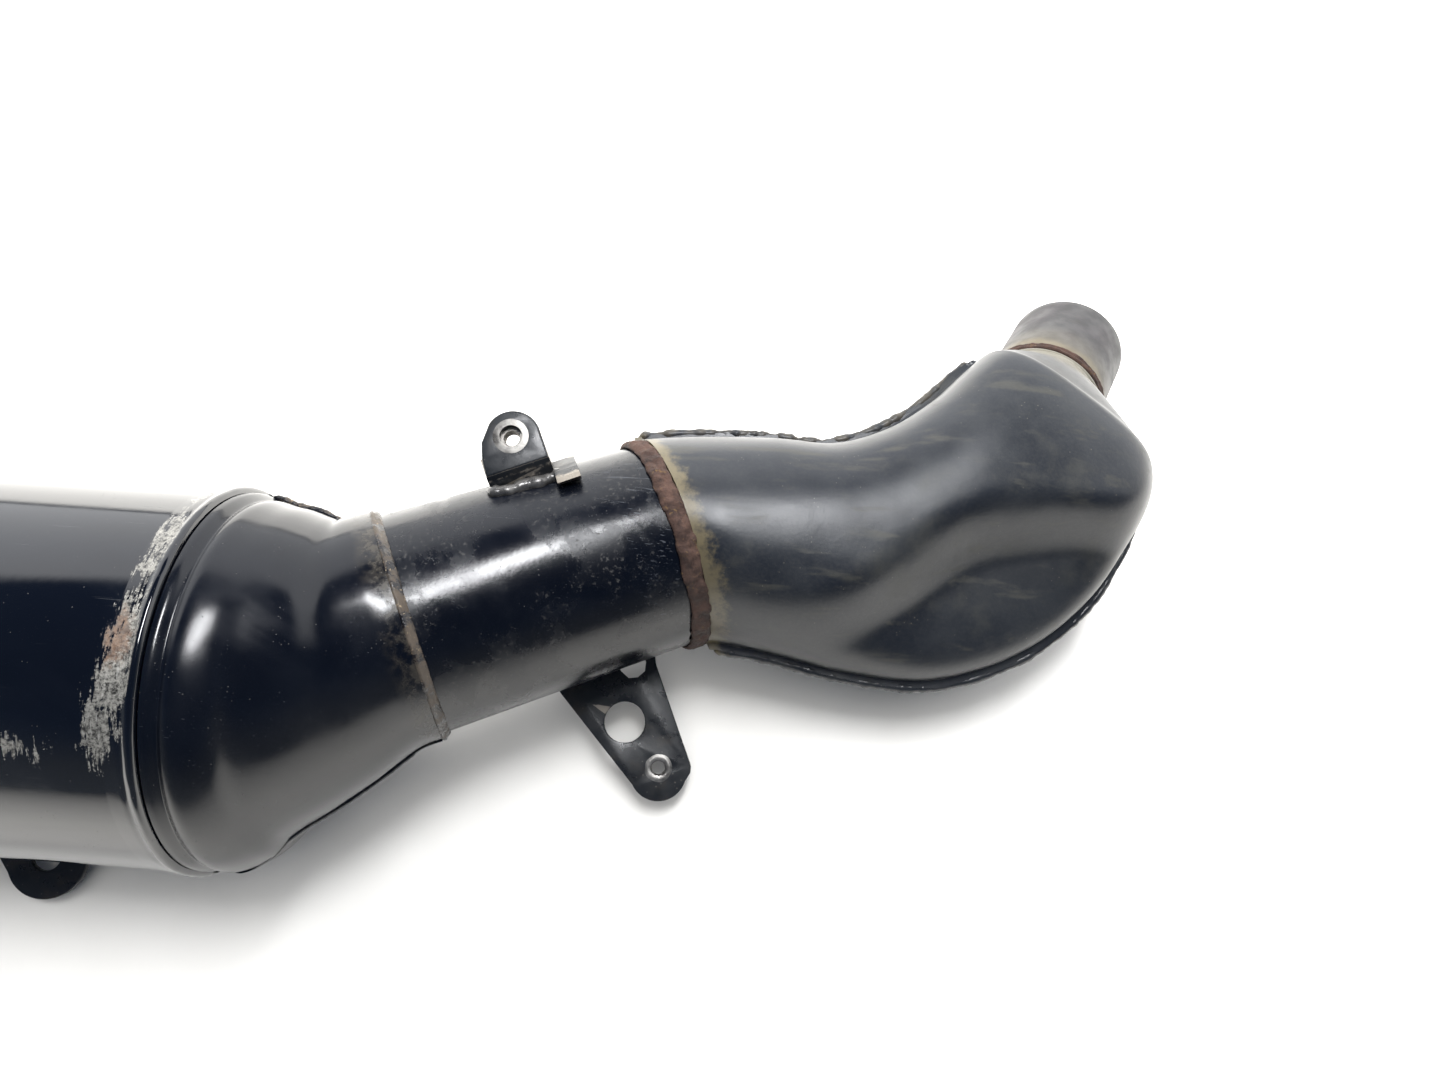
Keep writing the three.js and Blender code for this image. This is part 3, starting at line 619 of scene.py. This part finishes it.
GLOSS = gloss_black()
CANISTER = canister_black()
CONE = cone_gloss()
SATIN = satin_black("satin_black")
SEAM_BROWN = seam_brown()
RUST = rusty_weld()
STUB = stub_steel()
BRACKET = bracket_black()
NUT = plain_metal("nut_steel", (0.16, 0.15, 0.14), (0.42, 0.40, 0.37))
INNER = plain_metal("inner_steel", (0.20, 0.19, 0.18), (0.42, 0.40, 0.37), (0.35, 0.6))
FOIL = plain_metal("catalyst_foil", (0.28, 0.25, 0.21), (0.50, 0.46, 0.40), (0.45, 0.7))
WOOL = glass_wool()
LINK_GLOSS = link_gloss()
SATIN_DUSTY = satin_black("satin_dusty", 0.8)
WORN = plain_metal("worn_steel", (0.10, 0.095, 0.09), (0.34, 0.33, 0.31), (0.25, 0.5), 0.8)
NUT_DARK = plain_metal("weld_spatter", (0.05, 0.05, 0.052), (0.16, 0.155, 0.15), (0.2, 0.4), 0.7)


# ---------------- canister
def make_canister():
    shell = [(BODY_R - 1.2, REAR), (BODY_R, REAR)]
    shell += [(BODY_R, x) for x in np.linspace(REAR + 6, FRONT - 18, 30)]
    shell += [(60.0, FRONT - 12), (60.1, FRONT - 1), (58.8, FRONT - 1)]
    shell += [(BODY_R - 1.2, x) for x in np.linspace(FRONT - 18, REAR + 6, 8)]

    def uneven(grid, origin, direction):
        radial, _ = outward(grid, origin, direction)
        return grid + radial * wobble(grid, 70, 3)[:, :, None] * 0.10

    def battered(grid, origin, direction):
        radial, length = outward(grid, origin, direction)
        lift = wobble(grid, 5.0, 8, 3) * 0.16 * smoothstep(60.4, 60.9, length)
        return grid + radial * np.minimum(lift, 0.05)[:, :, None]

    revolve("canister_shell", shell, (0, 0, 0), AXIS, CANISTER, ["body_shell"],
            224, uneven)
    rim = [(60.2, -8.1), (60.35, -8.2), (60.45, -6.5), (60.55, -4.5), (60.6, -3.2), (60.5, -2.6),
           (60.65, -2.0), (61.1, -1.4), (61.28, -0.6), (61.2, 0.2), (60.7, 0.8), (59.8, 1.15),
           (59.2, 1.2), (59.2, 0.6), (60.2, 0.2)]
    revolve("front_rim", rim, (FRONT - 1, 0, 0), AXIS, CANISTER, ["front_rim_ring"],
            256, battered, sharp=60)
    rear = [(BODY_R + 0.3, 4), (60.65, 4.2), (61.0, 3.7), (61.15, 2.8), (60.9, 2.0),
            (61.0, 1.4), (RIM_R, 0), (61.25, -1.4), (60.9, -2.8), (60.3, -4), (BODY_R + 0.3, -4)]
    revolve("rear_rim", rear, (REAR, 0, 0), AXIS, GLOSS, ["rear_rim_ring"],
            192, sharp=60)


# ---------------- stamped half shells
def spline(values, t):
    """Catmull-Rom through the values at t, from 0 to 1."""
    values = np.asarray(values, float)
    last = len(values) - 1
    i = np.minimum((t * last).astype(int), last - 1)
    u = t * last - i
    a, b = values[np.maximum(i - 1, 0)], values[i]
    c, d = values[i + 1], values[np.minimum(i + 2, last)]
    if values.ndim == 2:
        u = u[:, None]
    return 0.5 * (2 * b + (c - a) * u + (2 * a - 5 * b + 4 * c - d) * u ** 2
                  + (3 * b - a - 3 * c + d) * u ** 3)


def normal_to(direction):
    return unit(SEAM_N - np.dot(SEAM_N, direction) * direction)


def round_station(centre, direction, radius):
    direction = unit(direction)
    normal = normal_to(direction)
    side = np.cross(normal, direction) * radius
    return dict(far=centre + side, near=centre - side, normal=normal, height=radius,
                depth=radius, drop=0.0, drop_at=0.9, square=2.0, lean=0.0, bulge=0.0)


def section_lines(stations, t):
    lines = {key: spline([s[key] for s in stations], t) for key in stations[0]}
    lines["normal"] /= np.linalg.norm(lines["normal"], axis=1)[:, None]
    across = lines["near"] - lines["far"]
    lines["width"] = across
    lines["out"] = across / np.linalg.norm(across, axis=1)[:, None]
    return lines


def shell_grid(stations, side, length_steps, arc_steps, flange, fade=(2, 3)):
    """Grid of one stamped half: rows run along the duct, columns from far to near seam.

    The flange narrows between the two shares of the length given by fade."""
    t = np.linspace(0, 1, length_steps)
    flange = flange * (1 - 0.85 * smoothstep(*fade, t))
    s = section_lines(stations, t)
    angle = np.linspace(0, math.pi, arc_steps)
    c = -np.cos(angle)
    power = 2 / s["square"][:, None]
    x = np.sign(c) * np.abs(c) ** power
    h = np.abs(np.sin(angle)) ** power
    place = (x + 1) / 2
    pressed = smoothstep(s["drop_at"][:, None] - PRESS, s["drop_at"][:, None] + PRESS, place)
    if side > 0:
        rise = s["height"][:, None] * h * (1 - s["drop"][:, None] * pressed)
        lean = s["lean"][:, None] * h * smoothstep(0.5, 1, place)
    else:
        rise = -s["depth"][:, None] * h
        lean = np.zeros_like(h)
    grid = (s["far"][:, None] + s["width"][:, None] * place[:, :, None]
            + s["normal"][:, None] * rise[:, :, None] + s["out"][:, None] * lean[:, :, None])
    onward = np.cross(s["normal"], s["out"])
    grid += onward[:, None] * (s["bulge"][:, None] * h)[:, :, None] * (side > 0)
    ragged_far = flange * (1 + 0.16 * wobble(s["far"], 9, 4))
    ragged_near = flange * (1 + 0.16 * wobble(s["near"], 9, 7))
    far = [s["far"] - s["out"] * (ragged_far * f)[:, None] for f in (1, 0.66, 0.33)]
    near = [s["near"] + s["out"] * (ragged_near * f)[:, None] for f in (0.33, 0.66, 1)]
    grid = np.concatenate([np.stack(far, 1), grid, np.stack(near, 1)], axis=1)
    return grid + s["normal"][:, None] * side * GAP / 2


def round_corners(grid, times):
    """Rounds the sheet across its columns, keeping its two edges in place."""
    for _ in range(times):
        mid = grid[:, 1:-1]
        grid[:, 1:-1] = mid + 0.5 * ((grid[:, :-2] + grid[:, 2:]) / 2 - mid)
    return grid


def seam_line(stations, sign, reach, start, end, count=120):
    s = section_lines(stations, np.linspace(start, end, count))
    base = s["near"] if sign > 0 else s["far"]
    return base + sign * s["out"] * reach


# centre, direction, half width, height above and below the seam
CONE_ROWS = [
    ((14.5, 0, 0), (1, 0, 0), 58.2, 58.2),
    ((21, -0.4, 0), (0.999, 0.035, 0), 57, 57.3),
    ((27.5, 0.8, 0.2), (0.999, 0.047, 0), 54, 55),
    ((33.2, 3.8, 0.4), (0.999, 0.046, 0), 50, 51.8),
    ((42, 7.6, 0.6), (0.991, 0.135, -0.02), 44.8, 46.8),
    ((48.5, 11.9, 0.6), (0.963, 0.269, -0.05), 40.8, 41.6),
]


def cone_stations():
    stations = []
    for centre, direction, width, height in CONE_ROWS:
        station = round_station(np.array(centre, float), direction, width)
        station["height"] = station["depth"] = height
        stations.append(station)
    for back, opening in ((8, 0.5), (0, 0)):
        radius = LINK_R0 + 0.4 + opening
        stations.append(round_station(NECK - back * LINK_DIR, LINK_DIR, radius))
    return stations


def make_cone():
    stations = cone_stations()
    for side, name in ((1, "upper"), (-1, "lower")):
        grid = round_corners(shell_grid(stations, side, 150, 121, 2.0), 1)
        # the groove pressed round the cone just in front of the rim
        depth = 1.4 * np.exp(-((grid[:, :, 0] - 17.8) / 2.3) ** 2)
        grid[:, :, 1:] *= 1 - (depth / 58)[:, :, None]
        grid[0, :, 0] -= 0.9        # tucked close behind the rim
        sheet(f"cone_{name}", grid, side, SHEET, CONE, [f"cone_{name}_half"])
    bead("cone_seam_far", seam_line(stations, -1, 1.9, 0.02, 0.9), 1.2, SEAM_BROWN,
         ["cone_seam_weld_far"], 11)
    bead("cone_seam_near", seam_line(stations, 1, 1.5, 0.3, 0.85), 0.9, CONE,
         ["cone_seam_weld_near"], 17, 0.15)
    lip = [(37.3, -1.9), (38.9, -2.0), (39.3, -1.6), (39.3, -0.9), (38.7, -0.4), (38.2, 0.5),
           (37.8, 1.0), (37.3, 1.2)]
    revolve("neck_lip", lip, NECK + 2 * LINK_DIR, LINK_DIR, SEAM_BROWN, ["neck_weld_bead"],
            240, weld_ripple(0.30, 21, 0.2), sharp=60)


def weld_ripple(depth, seed, axial=0.0):
    """Roughens a ring: moves points in and out, and the whole bead to and fro."""
    def move(grid, origin, direction):
        radial, length = outward(grid, origin, direction)
        lift = wobble(grid, 4.0, seed, 3) * depth
        sway = wobble(radial * 30, 9.0, seed + 5) * axial
        outer = smoothstep(length.min(), length.min() + 0.8, length)
        return (grid + radial * (lift * outer)[:, :, None]
                + direction * (sway + lift * 0.5)[:, :, None])
    return move


def make_link_pipe():
    wall, start, end = 1.5, -6.5, LINK_LENGTH - 0.6
    outside = [(LINK_R0, start), (LINK_R0, 3)]
    outside += [(LINK_R0 + (LINK_R1 - LINK_R0) * t, 3 + (end - 3) * t)
                for t in np.linspace(0.05, 1, 24)]
    inside = [(r - wall, x) for r, x in outside[::-1]]
    revolve("link_tube", outside + inside, NECK, LINK_DIR, LINK_GLOSS, ["link_pipe"],
            192)
    ring = [(35.9, -3.2), (36.3, -3.4), (36.9, -2.9), (37.4, -2.2), (37.7, -1.2), (37.6, -0.2),
            (37.3, 0.5), (37.6, 1.3), (37.5, 2.2), (37.0, 3.0), (36.4, 3.4), (35.9, 3.2)]
    revolve("elbow_weld", ring, LINK_END, LINK_DIR, RUST, ["elbow_weld_ring"],
            420, weld_ripple(0.75, 31, 0.9), sharp=80)


# far seam x y, near seam x y, sink of both, tilt to the inlet, crown, depth, drop and its
# place, squareness, lean, bulge along the duct
ELBOW_ROWS = [
    (150, 97, 180, 30, 0, 0, 0, 35, 35, 0.10, 0.90, 2.1, 0, 0),
    (176, 99, 207, 26, 0, 0, 0, 35, 35, 0.35, 0.80, 2.3, 0, 0),
    (198, 99, 237, 26, 0, 0, 0, 35, 35, 0.52, 0.62, 2.6, 0, 0),
    (217, 106, 267, 38, 0, 1, 0, 35, 34, 0.57, 0.53, 2.8, 1, 0),
    (232, 117, 290, 58, 1, 2, 0.1, 34, 32, 0.53, 0.68, 2.9, 2, 0),
    (243, 129, 304, 82, 3, 3.5, 0.2, 31, 29, 0.28, 0.98, 3.0, 2, 0),
    (249, 135.5, 308, 97, 4, 5, 0.25, 27, 27, 0, 0.98, 3.0, 2, 1),
    (252, 138, 305, 108, 5, 7, 0.3, 23, 26, 0, 0.9, 3.0, 1, 0),
]


def seam_point(x, y, sink):
    fall = SEAM_N[0] * (x - LINK_END[0]) + SEAM_N[1] * (y - LINK_END[1])
    return np.array([x, y, LINK_END[2] - fall / SEAM_N[2] - sink])


def elbow_stations():
    inlet_normal = normal_to(INLET_DIR)
    stations = [round_station(LINK_END + 3.4 * LINK_DIR, LINK_DIR, LINK_R1 - 0.1)]
    for row in ELBOW_ROWS:
        fx, fy, nx, ny, sink_far, sink_near, tilt = row[:7]
        height, depth, drop, drop_at, square, lean, bulge = row[7:]
        normal = unit(SEAM_N * (1 - tilt) + inlet_normal * tilt)
        stations.append(dict(far=seam_point(fx, fy, sink_far), near=seam_point(nx, ny, sink_near),
                             normal=normal, height=height, depth=depth, drop=drop,
                             drop_at=drop_at, square=square, lean=lean, bulge=bulge))
    stations.append(round_station(INLET - 5 * INLET_DIR, INLET_DIR, INLET_R + 0.6))
    stations.append(round_station(INLET, INLET_DIR, INLET_R - 0.3))
    return stations


def make_elbow():
    stations = elbow_stations()
    for side, name in ((1, "upper"), (-1, "lower")):
        grid = round_corners(shell_grid(stations, side, 260, 141, 4.2, fade=(0.74, 0.86)), 4)
        normal = grid_normals(grid)
        middle = np.sin(np.linspace(0, math.pi, grid.shape[1]))[None, :, None]
        dents = wobble(grid, 26, 13 + side, 2)[:, :, None] * 0.25
        grid = grid + normal * dents * middle
        sheet(f"elbow_{name}", grid, side, SHEET, SATIN, [f"elbow_{name}_half"])
    bead("elbow_seam_far", seam_line(stations, -1, 4.2, 0.012, 0.74), 1.5, SATIN_DUSTY,
         ["elbow_seam_weld_far"], 41, 0.5, 4.0, (1.0, 1.15))
    bead("elbow_seam_near", seam_line(stations, 1, 4.2, 0.012, 0.75), 1.35, SATIN,
         ["elbow_seam_weld_near"], 47, 0.35, 4.0, (1.0, 1.2))


def make_inlet():
    length = 49.0          # from the end of the elbow to the open end
    stub = [(INLET_R - 1.5, 0.4), (INLET_R, 0.4)]
    stub += [(INLET_R, x) for x in np.linspace(3, length - 0.9, 14)]
    stub += [(INLET_R - 0.25, length - 0.3), (INLET_R - 0.55, length),
             (INLET_R - 1.2, length), (INLET_R - 1.5, length - 0.5)]
    stub += [(INLET_R - 1.5, x) for x in np.linspace(length - 3, 3, 10)]
    revolve("inlet_stub", stub, INLET, INLET_DIR, STUB, ["inlet_tube"], 144)
    ring = [(22.9, -2.1), (23.5, -2.2), (24.1, -1.7), (24.3, -1.0), (23.7, -0.2), (23.7, 0.2),
            (24.1, 0.9), (24.0, 1.5), (23.5, 2.0), (22.9, 2.1)]
    revolve("inlet_weld", ring, INLET_RING, INLET_DIR, RUST, ["inlet_weld_ring"],
            240, weld_ripple(0.35, 51, 0.4), sharp=70)


# ---------------- tail end
def make_tail():
    low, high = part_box("tail_tube")
    axis = local((np.array(low) + np.array(high)) / 2)
    start, end = local(low)[0], local(high)[0]
    centre = (0, axis[1], axis[2])
    radius = box_size("tail_tube")[1] / 2
    pipe = [(radius - 1.5, start), (radius, start)]
    pipe += [(radius, x) for x in np.linspace(start + 4, end, 12)]
    pipe += [(radius - 1.5, x) for x in np.linspace(end, start + 4, 8)]
    revolve("tail_pipe", pipe, centre, AXIS, GLOSS, ["tail_tube"], 96)
    lip = [(18.3, 0.3), (18.7, 0), (19.6, 0), (20.3, 0.5), (20.6, 1.4), (20.6, 5), (20.3, 6.2),
           (19.4, 7), (18.3, 7)]
    revolve("tail_lip", lip, (start, axis[1], axis[2]), AXIS, GLOSS, ["outlet_lip"],
            96, sharp=50)
    cap_zero = REAR + 3
    outside = [(1.0, -12), (10, -11.9), (20, -11.6), (30, -11), (40, -9.9), (48, -8), (53, -5.9),
               (56.2, -3.6), (57.9, -0.8), (58.4, 2), (58.4, 6)]
    inside = [(56.9, 6), (56.9, 1), (56, -2), (52, -4.9), (47, -6.6), (40, -8.3), (30, -9.5),
              (10, -10.4), (1.0, -10.5)]
    cap = revolve("rear_cap", outside + inside, (cap_zero, 0, 0), AXIS, GLOSS,
                  ["end_cap"], 160)
    cut(cap, cylinder(centre + np.array([cap_zero - 20, 0, 0]), AXIS, radius + GAP, 40, 96))


# ---------------- boolean and plate helpers
def temporary(mesh):
    """A helper object that a cut uses up."""
    helper = bpy.data.objects.new(mesh.name, mesh)
    scene.collection.objects.link(helper)
    return helper


def cylinder(origin, direction, radius, length, segments):
    """A closed cutter cylinder, as a temporary object."""
    grid = round_grid([(radius, 0), (radius, length)], origin, direction, segments)
    faces = capped_faces(2, segments)
    mesh = bpy.data.meshes.new("cutter")
    mesh.from_pydata((grid.reshape(-1, 3) * MM + ZERO).tolist(), [], faces)
    return temporary(mesh)


def cut(piece, tool, operation="DIFFERENCE"):
    """Cuts or joins with a temporary object, which is then removed."""
    modifier = piece.modifiers.new("cut", "BOOLEAN")
    modifier.operation = operation
    modifier.solver = "EXACT"
    modifier.object = tool
    bpy.context.view_layer.update()
    graph = bpy.context.evaluated_depsgraph_get()
    made = bpy.data.meshes.new_from_object(piece.evaluated_get(graph))
    piece.modifiers.remove(modifier)
    old = piece.data
    piece.data = made
    made.name = old.name
    bpy.data.objects.remove(tool)


def arc(x, y, radius, start, end, count=14):
    angles = np.radians(np.linspace(start, end, count))
    return [(x + radius * math.cos(a), y + radius * math.sin(a)) for a in angles]


def plate_mesh(name, outlines, centre, top, thickness, edge=0.4):
    """A bevelled flat plate with holes, lying in the bracket plane below its top face."""
    curve = bpy.data.curves.new(name, "CURVE")
    curve.dimensions = "2D"
    curve.fill_mode = "BOTH"
    curve.extrude = (thickness / 2 - edge) * MM
    curve.bevel_depth = edge * MM
    curve.bevel_resolution = 2
    curve.offset = -edge * MM
    for points in outlines:
        line = curve.splines.new("POLY")
        line.points.add(len(points) - 1)
        for point, (x, y) in zip(line.points, points):
            point.co = (x * MM, y * MM, 0, 1)
        line.use_cyclic_u = True
    holder = bpy.data.objects.new(name, curve)
    scene.collection.objects.link(holder)
    bpy.context.view_layer.update()
    graph = bpy.context.evaluated_depsgraph_get()
    mesh = bpy.data.meshes.new_from_object(holder.evaluated_get(graph))
    bpy.data.objects.remove(holder)
    middle = np.asarray(centre) + SEAM_N * (top - thickness / 2)
    basis = Matrix(np.stack([BRACKET_X, BRACKET_Y, SEAM_N], 1).tolist()).to_4x4()
    mesh.transform(Matrix.Translation(Vector(middle * MM + ZERO)) @ basis)
    work = bmesh.new()
    work.from_mesh(mesh)
    bmesh.ops.remove_doubles(work, verts=work.verts, dist=1e-6)
    work.to_mesh(mesh)
    work.free()
    return mesh


PLATE = 2.5                   # bracket sheet thickness
LOWER_NUT = (5.9, -19.1)      # the lower bracket's small hole, from its large one


def bracket_piece(name, node, outlines, hole, edge=0.4, sharp=30):
    mesh = plate_mesh(name, outlines, hole, 0, PLATE, edge)
    return finish_piece(name, mesh, BRACKET, [node], sharp)


def bracket_point(mount, x, y):
    """The bracket's hole centre, x and y mm away from its mount point on the top face."""
    return local(MOUNTS[mount]["pos_m"]) + BRACKET_X * x + BRACKET_Y * y


def pipe_cutter():
    return cylinder(NECK - 20 * LINK_DIR, LINK_DIR, LINK_R0 + GAP, LINK_LENGTH + 40, 96)


def on_pipe(point, clear):
    """The point of the link pipe's surface straight below a bracket, raised by clear mm."""
    away = point - NECK
    away = away - np.dot(away, LINK_DIR) * LINK_DIR
    base = point - np.dot(away, SEAM_N) * SEAM_N
    side = away - np.dot(away, SEAM_N) * SEAM_N
    radius = (LINK_R0 + LINK_R1) / 2 + clear
    return base + SEAM_N * math.sqrt(max(radius ** 2 - np.dot(side, side), 0))


def make_lower_bracket():
    hole = bracket_point("lower_bracket_face", 0.6, 17)
    edge = [(-20, 28), (-18, 17)] + arc(5.4, -20.5, 10, 186, 322, 20)
    edge += [(16.0, -24.5), (17.0, -22.5), (17.2, 16), (20.5, 28), (14.5, 28), (14, 17.5),
             (12.6, 14.6), (9.5, 13.4), (6.4, 14.2), (4.6, 17.5), (4, 28), (-11, 28),
             (-11.5, 17.5), (-12.5, 28)]
    holes = [arc(0, 0, 7.2, 0, 351, 40), arc(*LOWER_NUT, 2.6, 0, 348, 30)]
    piece = bracket_piece("lower_bracket_plate", "lower_bracket", [edge, *holes], hole)
    fold = [(14.9, -22), (17.1, -22), (17.1, 15), (14.9, 15)]
    cut(piece, temporary(plate_mesh("fold", [fold], hole, -1.0, 6.2, 0.3)), "UNION")
    cut(piece, pipe_cutter())
    ring = [(2.65, -0.5), (2.65, 0.05), (3.4, 0.3), (4.3, 0.25), (4.9, 0.0), (4.9, -0.5)]
    small = hole + BRACKET_X * LOWER_NUT[0] + BRACKET_Y * LOWER_NUT[1]
    revolve("lower_contact_ring", ring, small, SEAM_N, WORN, [], 48,
            weld_ripple(0.2, 71), sharp=60)
    make_nut("lower_nut", small - SEAM_N * (PLATE + GAP), "lower_bracket_nut")


def make_nut(name, top, node):
    """Weld nut: chamfered hexagon with a threaded hole, hanging under its plate."""
    corner = 10 / math.sqrt(3)
    outline = [(corner * math.cos(k * math.pi / 3), corner * math.sin(k * math.pi / 3))
               for k in range(6)]
    mesh = plate_mesh(name, [outline], top, 0, 5, 0.5)
    piece = finish_piece(name, mesh, NUT, [node], 30)
    cut(piece, cylinder(top - SEAM_N * 7, SEAM_N, 2.6, 9, 40))
    thread = [(2.7, 0.0)]
    for k in range(5):
        thread += [(2.35, k + 0.3), (2.35, k + 0.4), (2.75, k + 0.85), (2.75, k + 0.95)]
    thread += [(2.7, 5.0), (3.0, 5.0), (3.0, 0.0)]
    revolve(name + "_thread", thread, top - SEAM_N * 5, SEAM_N, NUT, [], 40,
            sharp=60)


def cross_plate(outline, start, end, hole):
    """A plate across the upper bracket: outline in the bracket's Y and Z, thickness along X."""
    count = len(outline)
    points = [hole + BRACKET_X * x + BRACKET_Y * y + SEAM_N * z
              for x in (start, end) for y, z in outline]
    mesh = bpy.data.meshes.new("cross_plate")
    mesh.from_pydata((np.array(points) * MM + ZERO).tolist(), [], capped_faces(2, count))
    turn_faces_out(mesh)
    return temporary(mesh)


def make_upper_bracket():
    hole = bracket_point("upper_bracket_face", 0, 8)
    edge = [(9.4, -10.5), (9.4, -3.0)] + arc(0.4, -0.6, 9.0, 0, 130, 18)
    edge += [(-9.6, 1.0), (-11.0, -4), (-11.6, -10.5)]
    piece = bracket_piece("upper_bracket_box", "upper_bracket",
                          [edge, arc(0, 0, 3.6, 0, 350, 36)], hole, 0.8, 34)
    front = [(-9.6, -0.05), (-10.6, -0.5), (-11.8, -1.6), (-20, -9.6), (-20, -15), (-9.4, -4.2),
             (-8.6, -2.4)]
    wall = [(-4, -1), (-8.6, -1.0), (-10.8, -1.6), (-24, -14.8), (-24, -26), (-4, -26)]
    foot = [(-9, -13), (-11, -9.5), (-13, -6), (-15, -3.2), (-18, 0.2), (-20, 1.8), (-20, -12),
            (-11, -15)]
    for outline, start, end in ((front, -11.3, 9.1), (wall, 6.9, 9.4), (wall, -11.6, -9.1),
                                (foot, 9.3, 17)):
        cut(piece, cross_plate(outline, start, end, hole), "UNION")
    cut(piece, pipe_cutter())
    ring = [(3.65, -0.5), (3.65, 0.02), (5.6, 0.03), (6.1, -0.1), (6.1, -0.5)]
    revolve("upper_contact_ring", ring, hole, SEAM_N, WORN, [], 48, sharp=60)
    make_nut("upper_nut", hole - SEAM_N * (PLATE + GAP), "upper_bracket_nut")
    root = [on_pipe(hole + BRACKET_X * x + BRACKET_Y * y, 0.6)
            for x, y in ((-13, -13.5), (-10, -15.4), (-6, -16.2), (-1, -15.8), (4, -16.4),
                         (9, -15.6), (13, -16.6), (17, -15.4))]
    bead("upper_bracket_spatter", root, 1.7, NUT_DARK, ["upper_bracket_weld"],
         61, 0.8, 2.5)


def make_rear_tab():
    hole = bracket_point("rear_tab_face", 0, 9.2)
    edge = [(-20, 26)] + arc(0, -1, 13.5, 180, 360, 30) + [(20, 26)]
    holes = [arc(0, 0, 5, 0, 350, 36)]
    piece = bracket_piece("rear_tab_plate", "rear_tab", [edge, *holes], hole)
    cut(piece, cylinder((-200, 0, 0), AXIS, BODY_R + GAP, 400, 192))


def dress_inside():
    """The hidden nodes keep their CAD shape and get real finishes."""
    finishes = {
        WOOL: ["packing_sleeve", "catalyst_mat"],
        FOIL: ["catalyst_brick"],
        INNER: ["inner_liner", "baffle_front", "baffle_middle", "baffle_rear",
                "inlet_core_tube", "return_tube"],
    }
    for material, nodes in finishes.items():
        for node in nodes:
            mesh = frame["nodes"][node].data
            mesh.materials.clear()
            mesh.materials.append(material)


make_canister()
make_cone()
make_link_pipe()
make_elbow()
make_inlet()
make_tail()
make_lower_bracket()
make_upper_bracket()
make_rear_tab()
dress_inside()


# ---------------- floor, light and camera
def make_floor():
    mesh = bpy.data.meshes.new("floor")
    size = 6.0
    corners = [(-size, -size, 0), (size, -size, 0), (size, size, 0), (-size, size, 0)]
    mesh.from_pydata(corners, [], [[0, 1, 2, 3]])
    floor = bpy.data.objects.new("floor", mesh)
    floor.location.z = -0.0004
    scene.collection.objects.link(floor)
    look = Look("floor", Specular_IOR_Level=0.3)
    cloud = look.noise(60, 4, 0.6)
    colour = look.mix(cloud, (0.62, 0.61, 0.585), (0.72, 0.71, 0.69))
    mesh.materials.append(look.finish(colour, 0.55, 0.0))


def area_light(name, place, aim, size, power, colour=(1, 1, 1), mirrored=True):
    data = bpy.data.lights.new(name, "AREA")
    data.shape = "RECTANGLE"
    data.size, data.size_y = size
    data.energy = power
    data.color = colour
    lamp = bpy.data.objects.new(name, data)
    lamp.location = place
    lamp.rotation_euler = (Vector(aim) - Vector(place)).to_track_quat("-Z", "Y").to_euler()
    lamp.visible_glossy = mirrored
    scene.collection.objects.link(lamp)


def make_world():
    """A dim room: bright low windows and a grey wall at the far side, dark overhead."""
    world = bpy.data.worlds.new("room")
    scene.world = world
    world.use_nodes = True
    shade = Shading(world.node_tree)
    place = shade.nodes.new("ShaderNodeTexCoord")
    split = shade.nodes.new("ShaderNodeSeparateXYZ")
    shade.links.new(place.outputs["Generated"], split.inputs[0])
    up, far = split.outputs["Z"], split.outputs["Y"]
    wall = shade.times(shade.ramp(up, 0.66, 0.72, 1.9, 0.0), shade.ramp(far, 0.0, 0.25))
    dim = shade.ramp(up, -0.1, 0.9, 0.30, 0.10)
    blue = shade.mix(shade.ramp(up, 0.2, 0.6), (0.75, 0.85, 1.0), (0.35, 0.55, 1.0))
    ceiling = shade.nodes.new("ShaderNodeVectorMath")
    ceiling.operation = "SCALE"
    shade.links.new(blue, ceiling.inputs[0])
    shade.links.new(dim, ceiling.inputs["Scale"])
    total = shade.nodes.new("ShaderNodeVectorMath")
    total.operation = "ADD"
    shade.links.new(ceiling.outputs[0], total.inputs[0])
    shade.links.new(wall, total.inputs[1])
    back = shade.nodes["Background"]
    shade.links.new(total.outputs[0], back.inputs[0])
    back.inputs[1].default_value = 1.0


def make_lights():
    make_world()
    area_light("key", (0.35, 0.20, 1.56), (0.30, 0.0, 0), (0.22, 0.62), 20, (0.97, 0.98, 1))
    area_light("far_fill", (-0.1, 1.3, 1.3), (0.1, 0, 0), (1.6, 0.9), 130, (1, 0.985, 0.95), False)
    area_light("top_fill", (0.2, 0.1, 2.2), (0.1, 0, 0), (2.6, 2.6), 70, (1, 0.985, 0.95), False)


def make_camera():
    data = bpy.data.cameras.new("camera")
    data.sensor_width = 36
    data.lens = 27.03
    camera = bpy.data.objects.new("camera", data)
    camera.location = ZERO + np.array([174.5, -95.5, 333.4]) * MM
    look = unit([-0.0317, 0.4214, -0.9063])
    right = unit([0.9972, 0.0750, 0.0])
    up = np.cross(right, look)
    camera.rotation_mode = "QUATERNION"
    turn = Matrix(np.stack([right, up, -look], 1).tolist())
    camera.rotation_quaternion = turn.to_quaternion()
    data.clip_start = 0.01
    scene.collection.objects.link(camera)
    scene.camera = camera


make_floor()
make_lights()
make_camera()
scene.view_settings.view_transform = "Standard"
